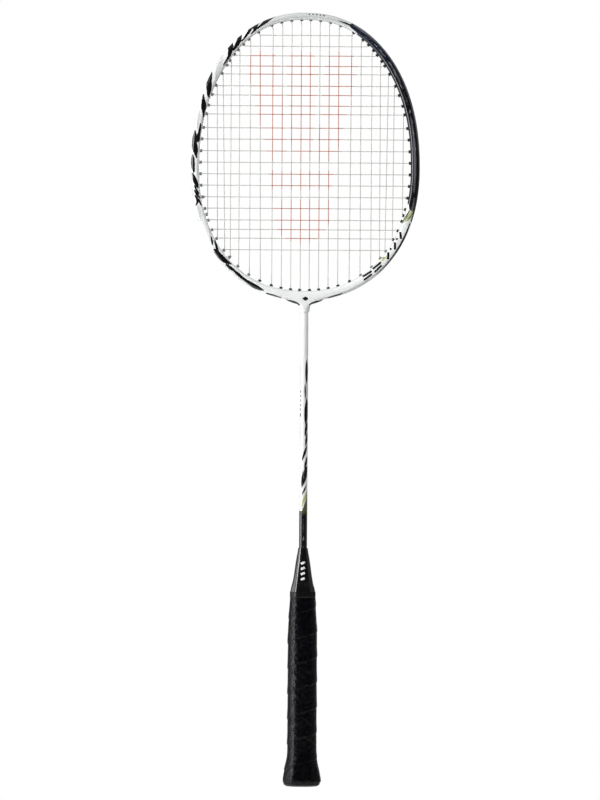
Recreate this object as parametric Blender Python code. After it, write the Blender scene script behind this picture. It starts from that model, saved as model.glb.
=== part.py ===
"""A badminton racket: carbon hoop and shaft, wooden handle, grommets, strings and grip.

The racket stands upright with its head at the top. The string bed lies in the XZ plane,
the front looks towards -Y, and the origin is the middle of the butt's bottom face.
"""

import math

import bmesh
import bpy
import numpy as np
from mathutils import Vector

MM = 0.001

# Overall length, and the centreline of the hoop: two half ovals that share one exponent.
TOTAL_LENGTH = 675.0 * MM
HOOP_HALF_WIDTH = 96.1 * MM
HOOP_WIDEST_HEIGHT = 539.6 * MM
HOOP_BOTTOM = 427.9 * MM
HOOP_EXPONENT = 2.18
HOOP_RINGS = 60

# Hoop section: half its width in the plane of the strings, the groove and the drilled holes.
HOOP_REACH = 4.1 * MM
HOOP_TOP = TOTAL_LENGTH - HOOP_REACH
GROOVE_FLOOR = 2.0 * MM
THROAT_SWELL = 2.2 * MM
THROAT_SWELL_REACH = 14.0 * MM
DRILL_RADIUS = 2.0 * MM
HOLE_SIDES = 6

# Each section is half an outline, from the outside of the hoop to its inside, as
# (distance outwards from the centreline, depth); the other half mirrors it in depth.
HOOP_SECTION = [
    (2.0, 2.6), (4.1, 2.8), (2.9, 4.6), (1.2, 5.25), (-1.8, 4.9), (-3.4, 3.6), (-4.1, 2.2),
]
HOLLOW_SECTION = [(1.1, 2.6), (0.2, 4.2), (-1.9, 3.9), (-3.1, 2.2)]
T_BAR_SECTION = [(0.8, 2.3), (-0.6, 3.6), (-2.7, 2.1)]

# Grommets: a barrel through the hoop and a plate in its groove.
BARREL_RADIUS = 1.7 * MM
BORE_RADIUS = 1.3 * MM
BARREL_INNER_END = -5.0 * MM
PLATE_BOTTOM = 2.3 * MM
PLATE_TOP = 2.8 * MM
PLATE_HALF_WIDTH = 2.2 * MM
PLATE_OVERHANG = 2.8 * MM
PLATE_GAP = 0.5 * MM
SHARED_HOLE_SPACING = 5.0 * MM
SINGLE_GROMMETS = 5
STRIP_HOLES = 4
THROAT_EXIT = 7.9 * MM

# Strings: the mains lie just behind the middle plane and the crosses just in front of it.
STRING_RADIUS = 0.35 * MM
STRING_RUN = 3.45 * MM
STRING_MOUTH = -5.4 * MM
STRING_TAIL = -7.0 * MM
MAIN_LANE = 0.5 * MM
CROSS_LANE = -0.5 * MM
MAIN_OFFSETS = [3.97, 12.2, 20.5, 28.9, 38.9, 48.4, 57.9, 65.4, 71.5, 77.5, 85.3]
CROSS_HEIGHTS = [
    465.6, 476.0, 485.2, 493.5, 503.7, 513.6, 523.8, 533.8, 543.9, 553.9, 564.2,
    574.1, 583.8, 593.4, 602.8, 610.6, 619.4, 628.2, 637.3, 645.6, 654.5,
]
RUN_STEP = 8.0 * MM

# Neck, shaft and the T inside them.
NECK_MOUTH = 413.5 * MM
NECK_SECTIONS = [(413.5, 4.5, 4.5), (417.0, 4.8, 4.5), (421.0, 5.25, 4.6), (427.0, 5.25, 4.6)]
NECK_SIDES = 16
SHAFT_RADIUS = 3.5 * MM
SHAFT_BORE = 2.6 * MM
SHAFT_BOTTOM = 110.0 * MM
SHAFT_TOP = 421.2 * MM
SHAFT_SIDES = 16
T_STEM_RADIUS = 2.25 * MM
T_STEM_BOTTOM = 395.0 * MM
T_BAR_REACH = 16.5 * MM
CLEARANCE = 0.3 * MM

# Handle: an octagon with 45 degree bevels, measured over the grip.
GRIP_HALF_WIDTH = 13.75 * MM
GRIP_HALF_DEPTH = 12.5 * MM
GRIP_BEVEL = 6.5 * MM
GRIP_THICKNESS = 1.9 * MM
CORNER_ROUND = 0.8 * MM
# Heights up the handle, with how far the surface lies outside the straight part's octagon.
GRIP_OUTSIDE = [
    (2.7, 3.3), (4.6, 4.15), (7.0, 3.75), (14.0, 2.4), (22.0, 0.9), (31.0, 0.0),
    (135.0, 0.0), (150.0, -1.15), (163.6, -2.2), (164.4, -2.75), (167.4, -2.8),
]
GRIP_INSIDE = [
    (2.7, 1.2), (5.0, 1.9), (14.0, 0.5), (22.0, -1.0), (31.0, -1.9),
    (135.0, -1.9), (150.0, -3.0), (167.4, -4.3),
]
CORE_OUTSIDE = [
    (2.7, 0.9), (5.0, 1.6), (14.0, 0.2), (22.0, -1.3), (31.0, -2.2), (135.0, -2.2),
    (150.0, -3.3), (167.4, -4.6), (180.0, -6.2), (189.0, -7.5), (196.0, -8.3),
]
CORE_TOP = 196.0 * MM

# Cone cap: height, half width and how round the section is (0 octagon, 1 circle).
CONE_OUTSIDE = [
    (168.0, 11.05, 0.0), (171.5, 10.85, 0.1), (180.0, 9.15, 0.45), (189.0, 7.85, 0.75),
    (198.0, 7.0, 1.0), (203.0, 5.9, 1.0), (206.0, 4.8, 1.0), (208.0, 4.35, 1.0),
]
CONE_INSIDE = [
    (168.0, 9.85, 0.0), (180.0, 8.0, 0.3), (189.0, 6.7, 0.6), (196.6, 5.85, 1.0),
    (198.0, 3.95, 1.0), (208.0, 3.95, 1.0),
]
TAPE_OUTSIDE = [(164.6, -2.15), (169.6, -2.15)]
TAPE_INSIDE = [(164.6, -2.45), (169.6, -2.45)]

# Butt cap: a bevelled plate with a spigot.
CAP_SECTIONS = [(0.0, -0.2), (0.9, 1.6), (2.4, 2.9)]
SPIGOT_RADIUS = 4.0 * MM
SPIGOT_TOP = 8.0 * MM

# Grip staple, driven into the front flat of the wood.
STAPLE_HEIGHT = 40.0 * MM
STAPLE_HALF_WIDTH = 5.0 * MM
STAPLE_LEG = 6.0 * MM
STAPLE_WIRE = 0.7 * MM
STAPLE_SUNK = 0.4 * MM

# Finish of each material: base colour, roughness and metallic value.
FINISHES = {
    "frame_lacquer": ((0.80, 0.81, 0.82), 0.22, 0.0),
    "shaft_lacquer": ((0.10, 0.10, 0.11), 0.20, 0.0),
    "cone_plastic": ((0.012, 0.012, 0.014), 0.18, 0.0),
    "grip_polyurethane": ((0.022, 0.022, 0.026), 0.55, 0.0),
    "tape_vinyl": ((0.016, 0.016, 0.018), 0.35, 0.0),
    "grommet_nylon": ((0.018, 0.018, 0.018), 0.45, 0.0),
    "string_nylon": ((0.78, 0.80, 0.76), 0.35, 0.0),
    "handle_wood": ((0.55, 0.40, 0.24), 0.70, 0.0),
    "joint_plastic": ((0.10, 0.10, 0.10), 0.50, 0.0),
    "staple_steel": ((0.60, 0.60, 0.60), 0.30, 1.0),
    "cap_plastic": ((0.015, 0.015, 0.017), 0.40, 0.0),
}


# ------------------------------------------------------------------ scene and objects


def clear_scene():
    for thing in list(bpy.data.objects):
        bpy.data.objects.remove(thing, do_unlink=True)


def make_materials():
    materials = {}
    for name, (colour, roughness, metallic) in FINISHES.items():
        material = bpy.data.materials.new(name)
        material.use_nodes = True
        shader = material.node_tree.nodes["Principled BSDF"]
        shader.inputs["Base Color"].default_value = (*colour, 1.0)
        shader.inputs["Roughness"].default_value = roughness
        shader.inputs["Metallic"].default_value = metallic
        materials[name] = material
    return materials


def add_object(name, mesh, finish):
    thing = bpy.data.objects.new(name, mesh)
    bpy.context.collection.objects.link(thing)
    mesh.materials.append(MATERIALS[finish])
    return thing


def add_cutter(name, shapes):
    """A hidden helper object that holds one or more closed shapes."""
    shape = shapes[0]
    for other in shapes[1:]:
        add_shape(shape, other)
    mesh = bpy.data.meshes.new(name)
    shape.to_mesh(mesh)
    cutter = bpy.data.objects.new(name, mesh)
    bpy.context.collection.objects.link(cutter)
    cutter.hide_render = True
    cutter.display_type = "WIRE"
    return cutter


def add_shape(target, source):
    copies = {vert: target.verts.new(vert.co) for vert in source.verts}
    for face in source.faces:
        target.faces.new([copies[vert] for vert in face.verts])


def combine(thing, cutter, operation):
    modifier = thing.modifiers.new(operation.title(), "BOOLEAN")
    modifier.operation = operation
    modifier.solver = "EXACT"
    modifier.object = cutter


def finish_mesh(shape, name, smooth_angle=35.0):
    bmesh.ops.recalc_face_normals(shape, faces=shape.faces)
    mesh = bpy.data.meshes.new(name)
    shape.to_mesh(mesh)
    mesh.shade_smooth()
    mesh.set_sharp_from_angle(angle=math.radians(smooth_angle))
    return mesh


# ------------------------------------------------------------------ general shapes


def loft(rings, closed=False, capped=True):
    """Skin over rings of points, all with the same number of points."""
    shape = bmesh.new()
    loops = [[shape.verts.new(point) for point in ring] for ring in rings]
    count = len(loops[0])
    pairs = list(zip(loops, loops[1:]))
    if closed:
        pairs.append((loops[-1], loops[0]))
    for lower, upper in pairs:
        for k in range(count):
            m = (k + 1) % count
            shape.faces.new((lower[k], lower[m], upper[m], upper[k]))
    if capped and not closed:
        shape.faces.new(list(reversed(loops[0])))
        shape.faces.new(loops[-1])
    bmesh.ops.recalc_face_normals(shape, faces=shape.faces)
    return shape


def shell(outer_rings, inner_rings):
    """A closed sleeve: up the outside, over the top edge and down the inside."""
    return loft(outer_rings + list(reversed(inner_rings)), closed=True)


def circle_ring(radius, height, sides):
    turn = 2.0 * math.pi / sides
    return [
        Vector((radius * math.cos(turn * (k + 0.5)), radius * math.sin(turn * (k + 0.5)), height))
        for k in range(sides)
    ]


def prism(start, end, radius, sides=HOLE_SIDES):
    """A straight rod whose section has corners at the front and the back."""
    axis = (end - start).normalized()
    depth = Vector((0.0, 1.0, 0.0))
    side = axis.cross(depth)
    corners = []
    for k in range(sides):
        angle = 2.0 * math.pi * k / sides
        corners.append(radius * (depth * math.cos(angle) + side * math.sin(angle)))
    return loft([[start + c for c in corners], [end + c for c in corners]])


def block(low, high):
    """A box between two opposite corners."""
    rings = []
    for z in (low[2], high[2]):
        rings.append([
            Vector((low[0], low[1], z)), Vector((high[0], low[1], z)),
            Vector((high[0], high[1], z)), Vector((low[0], high[1], z)),
        ])
    return loft(rings)


# ------------------------------------------------------------------ the hoop's centreline


def hoop_table(steps=7200):
    """Points and outward normals round the hoop, by the arc length from the bottom middle."""
    turn = np.linspace(-math.pi / 2, 1.5 * math.pi, steps + 1)
    across, up = np.cos(turn), np.sin(turn)
    reach = np.where(up >= 0, HOOP_TOP - HOOP_WIDEST_HEIGHT, HOOP_WIDEST_HEIGHT - HOOP_BOTTOM)
    power = 2.0 / HOOP_EXPONENT
    x = HOOP_HALF_WIDTH * np.sign(across) * np.abs(across) ** power
    dz = reach * np.sign(up) * np.abs(up) ** power
    slope = HOOP_EXPONENT - 1.0
    normal_x = np.sign(x) * (np.abs(x) / HOOP_HALF_WIDTH) ** slope / HOOP_HALF_WIDTH
    normal_z = np.sign(dz) * (np.abs(dz) / reach) ** slope / reach
    size = np.hypot(normal_x, normal_z)
    arc = np.concatenate([[0.0], np.cumsum(np.hypot(np.diff(x), np.diff(dz)))])
    return arc, x, dz + HOOP_WIDEST_HEIGHT, normal_x / size, normal_z / size


HOOP_ARC, HOOP_X, HOOP_Z, HOOP_NX, HOOP_NZ = hoop_table()
HOOP_LENGTH = float(HOOP_ARC[-1])


def swell(arc):
    """How much thicker the hoop's outside is near the throat."""
    nearest = (arc + HOOP_LENGTH / 2) % HOOP_LENGTH - HOOP_LENGTH / 2
    return THROAT_SWELL * math.exp(-((nearest / THROAT_SWELL_REACH) ** 2))


def on_hoop(arc, out, depth=0.0):
    """The point at an arc position, a distance outwards and a depth; arc may be negative."""
    where = arc % HOOP_LENGTH
    x, z, nx, nz = (
        float(np.interp(where, HOOP_ARC, column))
        for column in (HOOP_X, HOOP_Z, HOOP_NX, HOOP_NZ)
    )
    if out >= GROOVE_FLOOR:
        out = out + swell(arc)
    return Vector((x + nx * out, depth, z + nz * out))


def hoop_ring(section, arc):
    half = [(out * MM, depth * MM) for out, depth in section]
    outline = half + [(out, -depth) for out, depth in reversed(half)]
    return [on_hoop(arc, out, depth) for out, depth in outline]


# ------------------------------------------------------------------ drilled holes


def arc_where(axis, value, upper):
    """Arc position on the right half where the string mouths' line has the given x or z."""
    right = (HOOP_X >= 0.0) & ((HOOP_Z > HOOP_WIDEST_HEIGHT) == upper)
    line = HOOP_X + STRING_MOUTH * HOOP_NX if axis == "x" else HOOP_Z + STRING_MOUTH * HOOP_NZ
    error = np.where(right, np.abs(line - value), np.inf)
    return float(HOOP_ARC[int(np.argmin(error))])


def drilled_holes():
    """Holes of the right half from throat to top: (arc position, names of its string ends)."""
    ends = []
    for number, offset in enumerate(MAIN_OFFSETS):
        for place, upper in (("low", False), ("high", True)):
            ends.append((arc_where("x", offset * MM, upper), ("main", number, place)))
    for number, height in enumerate(CROSS_HEIGHTS):
        upper = height * MM > HOOP_WIDEST_HEIGHT
        ends.append((arc_where("z", height * MM, upper), ("cross", number)))
    ends.sort()
    holes = []
    for arc, name in ends:
        if holes and arc - holes[-1][0] < SHARED_HOLE_SPACING:
            first_arc, names = holes.pop()
            holes.append(((first_arc + arc) / 2, names + [name]))
        else:
            holes.append((arc, [name]))
    return holes


HOLES = drilled_holes()
HOLE_OF = {name: arc for arc, names in HOLES for name in names}
FIRST_HOLE = HOLES[0][0]


def exit_arc(arc):
    """Where a hole leaves the hoop: the two beside the neck slant away from it."""
    if abs(arc) == FIRST_HOLE:
        return math.copysign(THROAT_EXIT, arc)
    return arc


def hole_rod(arc, inner, outer, radius):
    """A rod along a hole's axis between two distances from the centreline."""
    mouth = on_hoop(arc, STRING_MOUTH)
    leave = on_hoop(exit_arc(arc), STRING_RUN)
    axis = (leave - mouth).normalized()
    lift = (outer - STRING_RUN) if outer >= GROOVE_FLOOR else 0.0
    return prism(mouth + axis * (inner - STRING_MOUTH), leave + axis * lift, radius)


def both_sides(arcs):
    return [side * arc for arc in arcs for side in (1, -1)]


# ------------------------------------------------------------------ head


def build_head_frame():
    arcs = [HOOP_LENGTH * k / HOOP_RINGS for k in range(HOOP_RINGS)]
    hoop = loft([hoop_ring(HOOP_SECTION, arc) for arc in arcs], closed=True)
    frame = add_object("head_frame", finish_mesh(hoop, "head_frame"), "frame_lacquer")

    neck_rings = []
    for height, half_width, half_depth in NECK_SECTIONS:
        ring = circle_ring(1.0, height * MM, NECK_SIDES)
        neck_rings.append([Vector((p.x * half_width * MM, p.y * half_depth * MM, p.z)) for p in ring])
    combine(frame, add_cutter("neck_body", [loft(neck_rings)]), "UNION")

    hollow = loft([hoop_ring(HOLLOW_SECTION, arc) for arc in arcs], closed=True)
    combine(frame, add_cutter("hoop_hollow", [hollow]), "DIFFERENCE")

    shaft_room = SHAFT_RADIUS + CLEARANCE
    shaft_socket = loft([
        circle_ring(shaft_room, NECK_MOUTH - 2 * MM, SHAFT_SIDES),
        circle_ring(shaft_room, SHAFT_TOP + CLEARANCE, SHAFT_SIDES),
        circle_ring(T_STEM_RADIUS + CLEARANCE, SHAFT_TOP + CLEARANCE, SHAFT_SIDES),
        circle_ring(T_STEM_RADIUS + CLEARANCE, HOOP_BOTTOM, SHAFT_SIDES),
    ])
    combine(frame, add_cutter("shaft_socket", [shaft_socket]), "DIFFERENCE")

    beyond = HOOP_REACH + 3 * MM
    drills = [hole_rod(arc, -beyond, beyond, DRILL_RADIUS) for arc in both_sides(HOLE_ARCS)]
    combine(frame, add_cutter("string_drills", drills), "DIFFERENCE")


def build_t_joint():
    steps = 6
    arcs = [T_BAR_REACH * (2.0 * k / steps - 1.0) for k in range(steps + 1)]
    bar = loft([hoop_ring(T_BAR_SECTION, arc) for arc in arcs])
    joint = add_object("t_joint", finish_mesh(bar, "t_joint"), "joint_plastic")
    stem = loft([
        circle_ring(T_STEM_RADIUS - 0.4 * MM, T_STEM_BOTTOM, SHAFT_SIDES),
        circle_ring(T_STEM_RADIUS, T_STEM_BOTTOM + 1.5 * MM, SHAFT_SIDES),
        circle_ring(T_STEM_RADIUS, HOOP_BOTTOM, SHAFT_SIDES),
    ])
    combine(joint, add_cutter("t_stem", [stem]), "UNION")
    reach = HOOP_REACH + 1 * MM
    drills = [hole_rod(arc, -reach, reach, DRILL_RADIUS) for arc in both_sides(HOLE_ARCS[:2])]
    combine(joint, add_cutter("t_drills", drills), "DIFFERENCE")


# ------------------------------------------------------------------ grommets


def build_grommets(name, arcs, start, end):
    """Barrels at the given holes on one plate that lies in the groove from start to end."""
    steps = max(2, round(abs(end - start) / RUN_STEP))
    rings = []
    for k in range(steps + 1):
        arc = start + (end - start) * k / steps
        rings.append([
            on_hoop(arc, PLATE_BOTTOM, -PLATE_HALF_WIDTH), on_hoop(arc, PLATE_BOTTOM, PLATE_HALF_WIDTH),
            on_hoop(arc, PLATE_TOP, PLATE_HALF_WIDTH), on_hoop(arc, PLATE_TOP, -PLATE_HALF_WIDTH),
        ])
    grommet = add_object(name, finish_mesh(loft(rings), name), "grommet_nylon")
    middle = (PLATE_BOTTOM + PLATE_TOP) / 2
    barrels = [hole_rod(arc, BARREL_INNER_END, middle, BARREL_RADIUS) for arc in arcs]
    combine(grommet, add_cutter(name + "_barrels", barrels), "UNION")
    bores = [hole_rod(arc, -2 * HOOP_REACH, 2 * HOOP_REACH, BORE_RADIUS) for arc in arcs]
    combine(grommet, add_cutter(name + "_bores", bores), "DIFFERENCE")


def plate_ends(first, last):
    """Start and end of the plate over the holes with these indexes, clear of its neighbours."""
    exits = [exit_arc(arc) for arc in HOLE_ARCS]
    before = exits[first] - exits[first - 1] if first else 2 * (exits[0] - NECK_SECTIONS[-1][1] * MM)
    after = exits[last + 1] - exits[last] if last + 1 < len(exits) else HOOP_LENGTH - 2 * exits[last]
    start = exits[first] - min(PLATE_OVERHANG, (before - PLATE_GAP) / 2)
    end = exits[last] + min(PLATE_OVERHANG, (after - PLATE_GAP) / 2)
    return start, end


def build_all_grommets():
    for side, label in ((1, "right"), (-1, "left")):
        for k in range(SINGLE_GROMMETS):
            start, end = plate_ends(k, k)
            name = f"grommet_throat_{label}_{k + 1}"
            build_grommets(name, [side * HOLE_ARCS[k]], side * start, side * end)
        for number, first in enumerate(range(SINGLE_GROMMETS, len(HOLE_ARCS), STRIP_HOLES)):
            last = min(first + STRIP_HOLES, len(HOLE_ARCS)) - 1
            start, end = plate_ends(first, last)
            arcs = [side * arc for arc in HOLE_ARCS[first:last + 1]]
            build_grommets(f"grommet_strip_{label}_{number + 1}", arcs, side * start, side * end)


# ------------------------------------------------------------------ strings


def outside_run(start, end, lane):
    """Points along the groove between two holes, both ends included."""
    start, end = exit_arc(start), exit_arc(end)
    steps = max(1, math.ceil(abs(end - start) / RUN_STEP))
    return [on_hoop(start + (end - start) * k / steps, STRING_RUN, lane) for k in range(steps + 1)]


def build_string(name, route):
    curve = bpy.data.curves.new(name, "CURVE")
    curve.dimensions = "3D"
    curve.bevel_depth = STRING_RADIUS
    curve.bevel_resolution = 1
    curve.use_fill_caps = True
    spline = curve.splines.new("POLY")
    spline.points.add(len(route) - 1)
    for point, place in zip(spline.points, route):
        point.co = (*place, 1.0)
    string = bpy.data.objects.new(name, curve)
    bpy.context.collection.objects.link(string)
    curve.materials.append(MATERIALS["string_nylon"])


def main_route():
    """The right half of the mains from the top middle to its knot, joined to its mirror image."""
    def mouth(arc):
        return on_hoop(arc, STRING_MOUTH, MAIN_LANE)

    half = []
    arc = HOLE_OF[("main", 0, "high")]
    for number in range(len(MAIN_OFFSETS)):
        places = ("high", "low") if number % 2 == 0 else ("low", "high")
        entry, leave = (HOLE_OF[("main", number, place)] for place in places)
        if number:
            half += outside_run(arc, entry, MAIN_LANE)
        else:
            half.append(on_hoop(entry, STRING_RUN, MAIN_LANE))
        half += [mouth(entry), mouth(leave)]
        arc = leave
    knot = HOLE_OF[MAIN_KNOT]
    half += outside_run(arc, knot, MAIN_LANE)
    half.append(on_hoop(knot, STRING_TAIL, MAIN_LANE))
    mirrored = [Vector((-p.x, p.y, p.z)) for p in reversed(half)]
    return mirrored + [on_hoop(HOOP_LENGTH / 2, STRING_RUN, MAIN_LANE)] + half


def cross_route():
    """The crosses from the lowest to the highest, knotted at both ends."""
    first_knot = -HOLE_OF[CROSS_KNOTS[0]]
    route = [on_hoop(first_knot, STRING_TAIL, CROSS_LANE)]
    arc = first_knot
    for number in range(len(CROSS_HEIGHTS)):
        side = -1 if number % 2 == 0 else 1
        entry = side * HOLE_OF[("cross", number)]
        route += outside_run(arc, entry, CROSS_LANE)
        route += [on_hoop(entry, STRING_MOUTH, CROSS_LANE), on_hoop(-entry, STRING_MOUTH, CROSS_LANE)]
        arc = -entry
    last_knot = HOLE_OF[CROSS_KNOTS[1]]
    route += outside_run(arc, last_knot, CROSS_LANE)
    route.append(on_hoop(last_knot, STRING_TAIL, CROSS_LANE))
    return route


# ------------------------------------------------------------------ shaft and handle


def build_shaft():
    outside = [circle_ring(SHAFT_RADIUS, z, SHAFT_SIDES) for z in (SHAFT_BOTTOM, SHAFT_TOP)]
    inside = [circle_ring(SHAFT_BORE, z, SHAFT_SIDES) for z in (SHAFT_BOTTOM, SHAFT_TOP)]
    add_object("shaft", finish_mesh(shell(outside, inside), "shaft"), "shaft_lacquer")


def octagon_ring(outset, height, roundness=0.0):
    """Sixteen points round the handle's octagon, moved outwards and blended to a circle."""
    half_width = GRIP_HALF_WIDTH + outset
    half_depth = GRIP_HALF_DEPTH + outset
    bevel = GRIP_BEVEL + outset * (2.0 - math.sqrt(2.0))
    corners = [
        (half_width, -(half_depth - bevel)), (half_width, half_depth - bevel),
        (half_width - bevel, half_depth), (bevel - half_width, half_depth),
        (-half_width, half_depth - bevel), (-half_width, -(half_depth - bevel)),
        (bevel - half_width, -half_depth), (half_width - bevel, -half_depth),
    ]
    corners = [Vector((x, y, height)) for x, y in corners]
    ring = []
    for k, corner in enumerate(corners):
        for neighbour in (corners[k - 1], corners[(k + 1) % 8]):
            edge = neighbour - corner
            ring.append(corner + edge.normalized() * min(CORNER_ROUND, edge.length / 3))
    turn = 2.0 * math.pi / len(ring)
    blended = []
    for k, point in enumerate(ring):
        angle = turn * (k - 1.5)
        on_circle = Vector((half_width * math.cos(angle), half_width * math.sin(angle), height))
        blended.append(point.lerp(on_circle, roundness))
    return blended


def handle_rings(levels):
    return [octagon_ring(outset * MM, height * MM) for height, outset in levels]


def cone_rings(levels):
    return [
        octagon_ring(half_width * MM - GRIP_HALF_WIDTH, height * MM, roundness)
        for height, half_width, roundness in levels
    ]


def staple_boxes(grow):
    """The staple's crown and legs, each box grown by the given clearance."""
    front = -(GRIP_HALF_DEPTH + CORE_OUTSIDE[4][1] * MM) + STAPLE_SUNK
    half = STAPLE_WIRE / 2 + grow
    lowest, highest = STAPLE_HEIGHT - half, STAPLE_HEIGHT + half
    crown_front = front - (1.0 * MM if grow else 0.0)
    crown = block(
        (-STAPLE_HALF_WIDTH - grow, crown_front, lowest),
        (STAPLE_HALF_WIDTH + grow, front + STAPLE_WIRE + grow, highest),
    )
    legs = []
    for side in (-1, 1):
        outer = side * (STAPLE_HALF_WIDTH + grow)
        inner = side * (STAPLE_HALF_WIDTH - STAPLE_WIRE - grow)
        legs.append(block(
            (min(outer, inner), front + STAPLE_WIRE / 2, lowest),
            (max(outer, inner), front + STAPLE_LEG + grow, highest),
        ))
    return crown, legs


def build_staple():
    crown, legs = staple_boxes(0.0)
    staple = add_object("grip_staple", finish_mesh(crown, "grip_staple"), "staple_steel")
    combine(staple, add_cutter("staple_legs", legs), "UNION")


def build_handle_core():
    core = loft(handle_rings(CORE_OUTSIDE))
    handle = add_object("handle_core", finish_mesh(core, "handle_core"), "handle_wood")
    room = SHAFT_RADIUS + CLEARANCE
    shaft_hole = loft([
        circle_ring(room, SHAFT_BOTTOM - CLEARANCE, SHAFT_SIDES),
        circle_ring(room, CORE_TOP + 2 * MM, SHAFT_SIDES),
    ])
    combine(handle, add_cutter("shaft_hole", [shaft_hole]), "DIFFERENCE")
    spigot_room = SPIGOT_RADIUS + CLEARANCE
    spigot_hole = loft([
        circle_ring(spigot_room, 0.0, SHAFT_SIDES),
        circle_ring(spigot_room, SPIGOT_TOP + CLEARANCE, SHAFT_SIDES),
    ])
    combine(handle, add_cutter("spigot_hole", [spigot_hole]), "DIFFERENCE")
    crown, legs = staple_boxes(CLEARANCE)
    combine(handle, add_cutter("staple_crown_room", [crown]), "DIFFERENCE")
    combine(handle, add_cutter("staple_leg_room", legs), "DIFFERENCE")


def build_butt_cap():
    plate = loft(handle_rings(CAP_SECTIONS))
    cap = add_object("butt_cap", finish_mesh(plate, "butt_cap"), "cap_plastic")
    spigot = loft([
        circle_ring(SPIGOT_RADIUS, 1.2 * MM, SHAFT_SIDES),
        circle_ring(SPIGOT_RADIUS, SPIGOT_TOP, SHAFT_SIDES),
    ])
    combine(cap, add_cutter("cap_spigot", [spigot]), "UNION")


def build_sleeves():
    grip = shell(handle_rings(GRIP_OUTSIDE), handle_rings(GRIP_INSIDE))
    add_object("grip_wrap", finish_mesh(grip, "grip_wrap"), "grip_polyurethane")
    tape = shell(handle_rings(TAPE_OUTSIDE), handle_rings(TAPE_INSIDE))
    add_object("finishing_tape", finish_mesh(tape, "finishing_tape"), "tape_vinyl")
    cone = shell(cone_rings(CONE_OUTSIDE), cone_rings(CONE_INSIDE))
    add_object("cone_cap", finish_mesh(cone, "cone_cap"), "cone_plastic")


HOLE_ARCS = [arc for arc, names in HOLES]
# The mains' ends are knotted at the sixth cross, the crosses' at the eighth and sixth mains.
MAIN_KNOT = ("cross", 5)
CROSS_KNOTS = [("main", 7, "low"), ("main", 5, "high")]

clear_scene()
MATERIALS = make_materials()
build_head_frame()
build_t_joint()
build_all_grommets()
build_string("main_string", main_route())
build_string("cross_string", cross_route())
build_shaft()
build_handle_core()
build_sleeves()
build_staple()
build_butt_cap()
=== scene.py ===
"""Looks for the badminton racket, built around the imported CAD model.

Lengths in this script are millimetres until a mesh is made; the scene itself is in metres.
The racket stands along +Z, its string bed lies in the XZ plane and its front faces -Y.
"""

import math
from collections import defaultdict

import bmesh
import bpy
import numpy as np
from mathutils import Matrix, Vector, noise


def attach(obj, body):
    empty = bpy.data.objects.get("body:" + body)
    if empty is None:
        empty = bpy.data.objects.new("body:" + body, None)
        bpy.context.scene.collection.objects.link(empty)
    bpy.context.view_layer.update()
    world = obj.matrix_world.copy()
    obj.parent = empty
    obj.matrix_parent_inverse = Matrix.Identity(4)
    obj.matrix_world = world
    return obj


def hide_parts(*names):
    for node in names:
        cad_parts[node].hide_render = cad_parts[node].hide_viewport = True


MM = 0.001

# Camera, in metres: the picture's height in pixels, a pixel's width at the racket, and the aim.
IMAGE_HEIGHT = 800
PIXEL_SIZE = 0.8727 * MM
CAMERA_DISTANCE = 5
SENSOR = 36
VIEW_CENTRE = (-3.4 * MM, 0, 336.8 * MM)
CAMERA_ROLL = math.radians(0.35)

# Studio, in metres, and how bright it is as the racket sees it on each side.
FLOOR_HEIGHT, FLOOR_HALF_SIZE = -0.35, 1.4
LIGHTS_AIM = 0.34
ROOM_BASE, ROOM_LEFT, ROOM_RIGHT, ROOM_BACK, ROOM_TOP = 0.03, 0.06, 0.20, 0.30, 0.40

# Hoop: the centreline's oval, half its section, and the drilled holes with the cells round them.
HOOP_HALF_WIDTH, HOOP_WIDEST, HOOP_BOTTOM = 96.1, 539.6, 427.9
HOOP_REACH, HOOP_DEPTH = 4.1, 5.25
HOOP_TOP = 675 - HOOP_REACH
HOOP_EXPONENT, SECTION_EXPONENT = 2.18, 2.7
SECTION_STEPS, LIP_DEPTH, FACE_DEPTH = 22, 2.9, 2.2
GROOVE_FLOOR = 2
GROOVE_SIDE = ((GROOVE_FLOOR, 1.1), (GROOVE_FLOOR + 0.03, 2.2), (2.2, 2.46), (2.9, 2.57), (3.6, 2.68))
THROAT_SWELL, THROAT_SWELL_REACH = 2.2, 14
CROWN_SLIMMING, CROWN_REACH = 0.45, (255, 325)
PATCH_LINES = (-2, -1, 0, 1, 2)
PATCH_DEPTHS = (-2.2, -1.1, 0, 1.1, 2.2)
DRILL_RADIUS = 1.55
STATION_STEP = 0.75

# Neck: half width, half depth and the flare under the hoop's lips, each by height.
NECK_WIDTHS = (
    (413.2, 3.6), (413.35, 4), (413.8, 4.25), (415, 4.38), (418, 4.8), (420, 5.1), (426, 5.2),
)
NECK_DEPTHS = (
    (413.2, 3.6), (413.35, 4), (413.8, 4.25), (415, 4.38), (419, 4.5), (422, 4.7), (426, 5),
)
NECK_FLARE = (
    (413.2, 0), (416, 0), (418.5, 0.25), (419.9, 1.1), (420.6, 2.5), (421.2, 4.5), (421.9, 6.6), (422.7, 8.6),
    (423.7, 10.5), (426, 12),
)
NECK_EDGE = (413.2, 413.35, 413.55, 413.8, 414.3)
NECK_TOP, NECK_ROUND, NECK_BOXY, NECK_STEP = 426.1, 415, 423, 0.35
NECK_LIP, NECK_LIP_ROUNDING, NECK_FLARE_START = (2.3, 3), 0.9, (0.02, 0.35)

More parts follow.
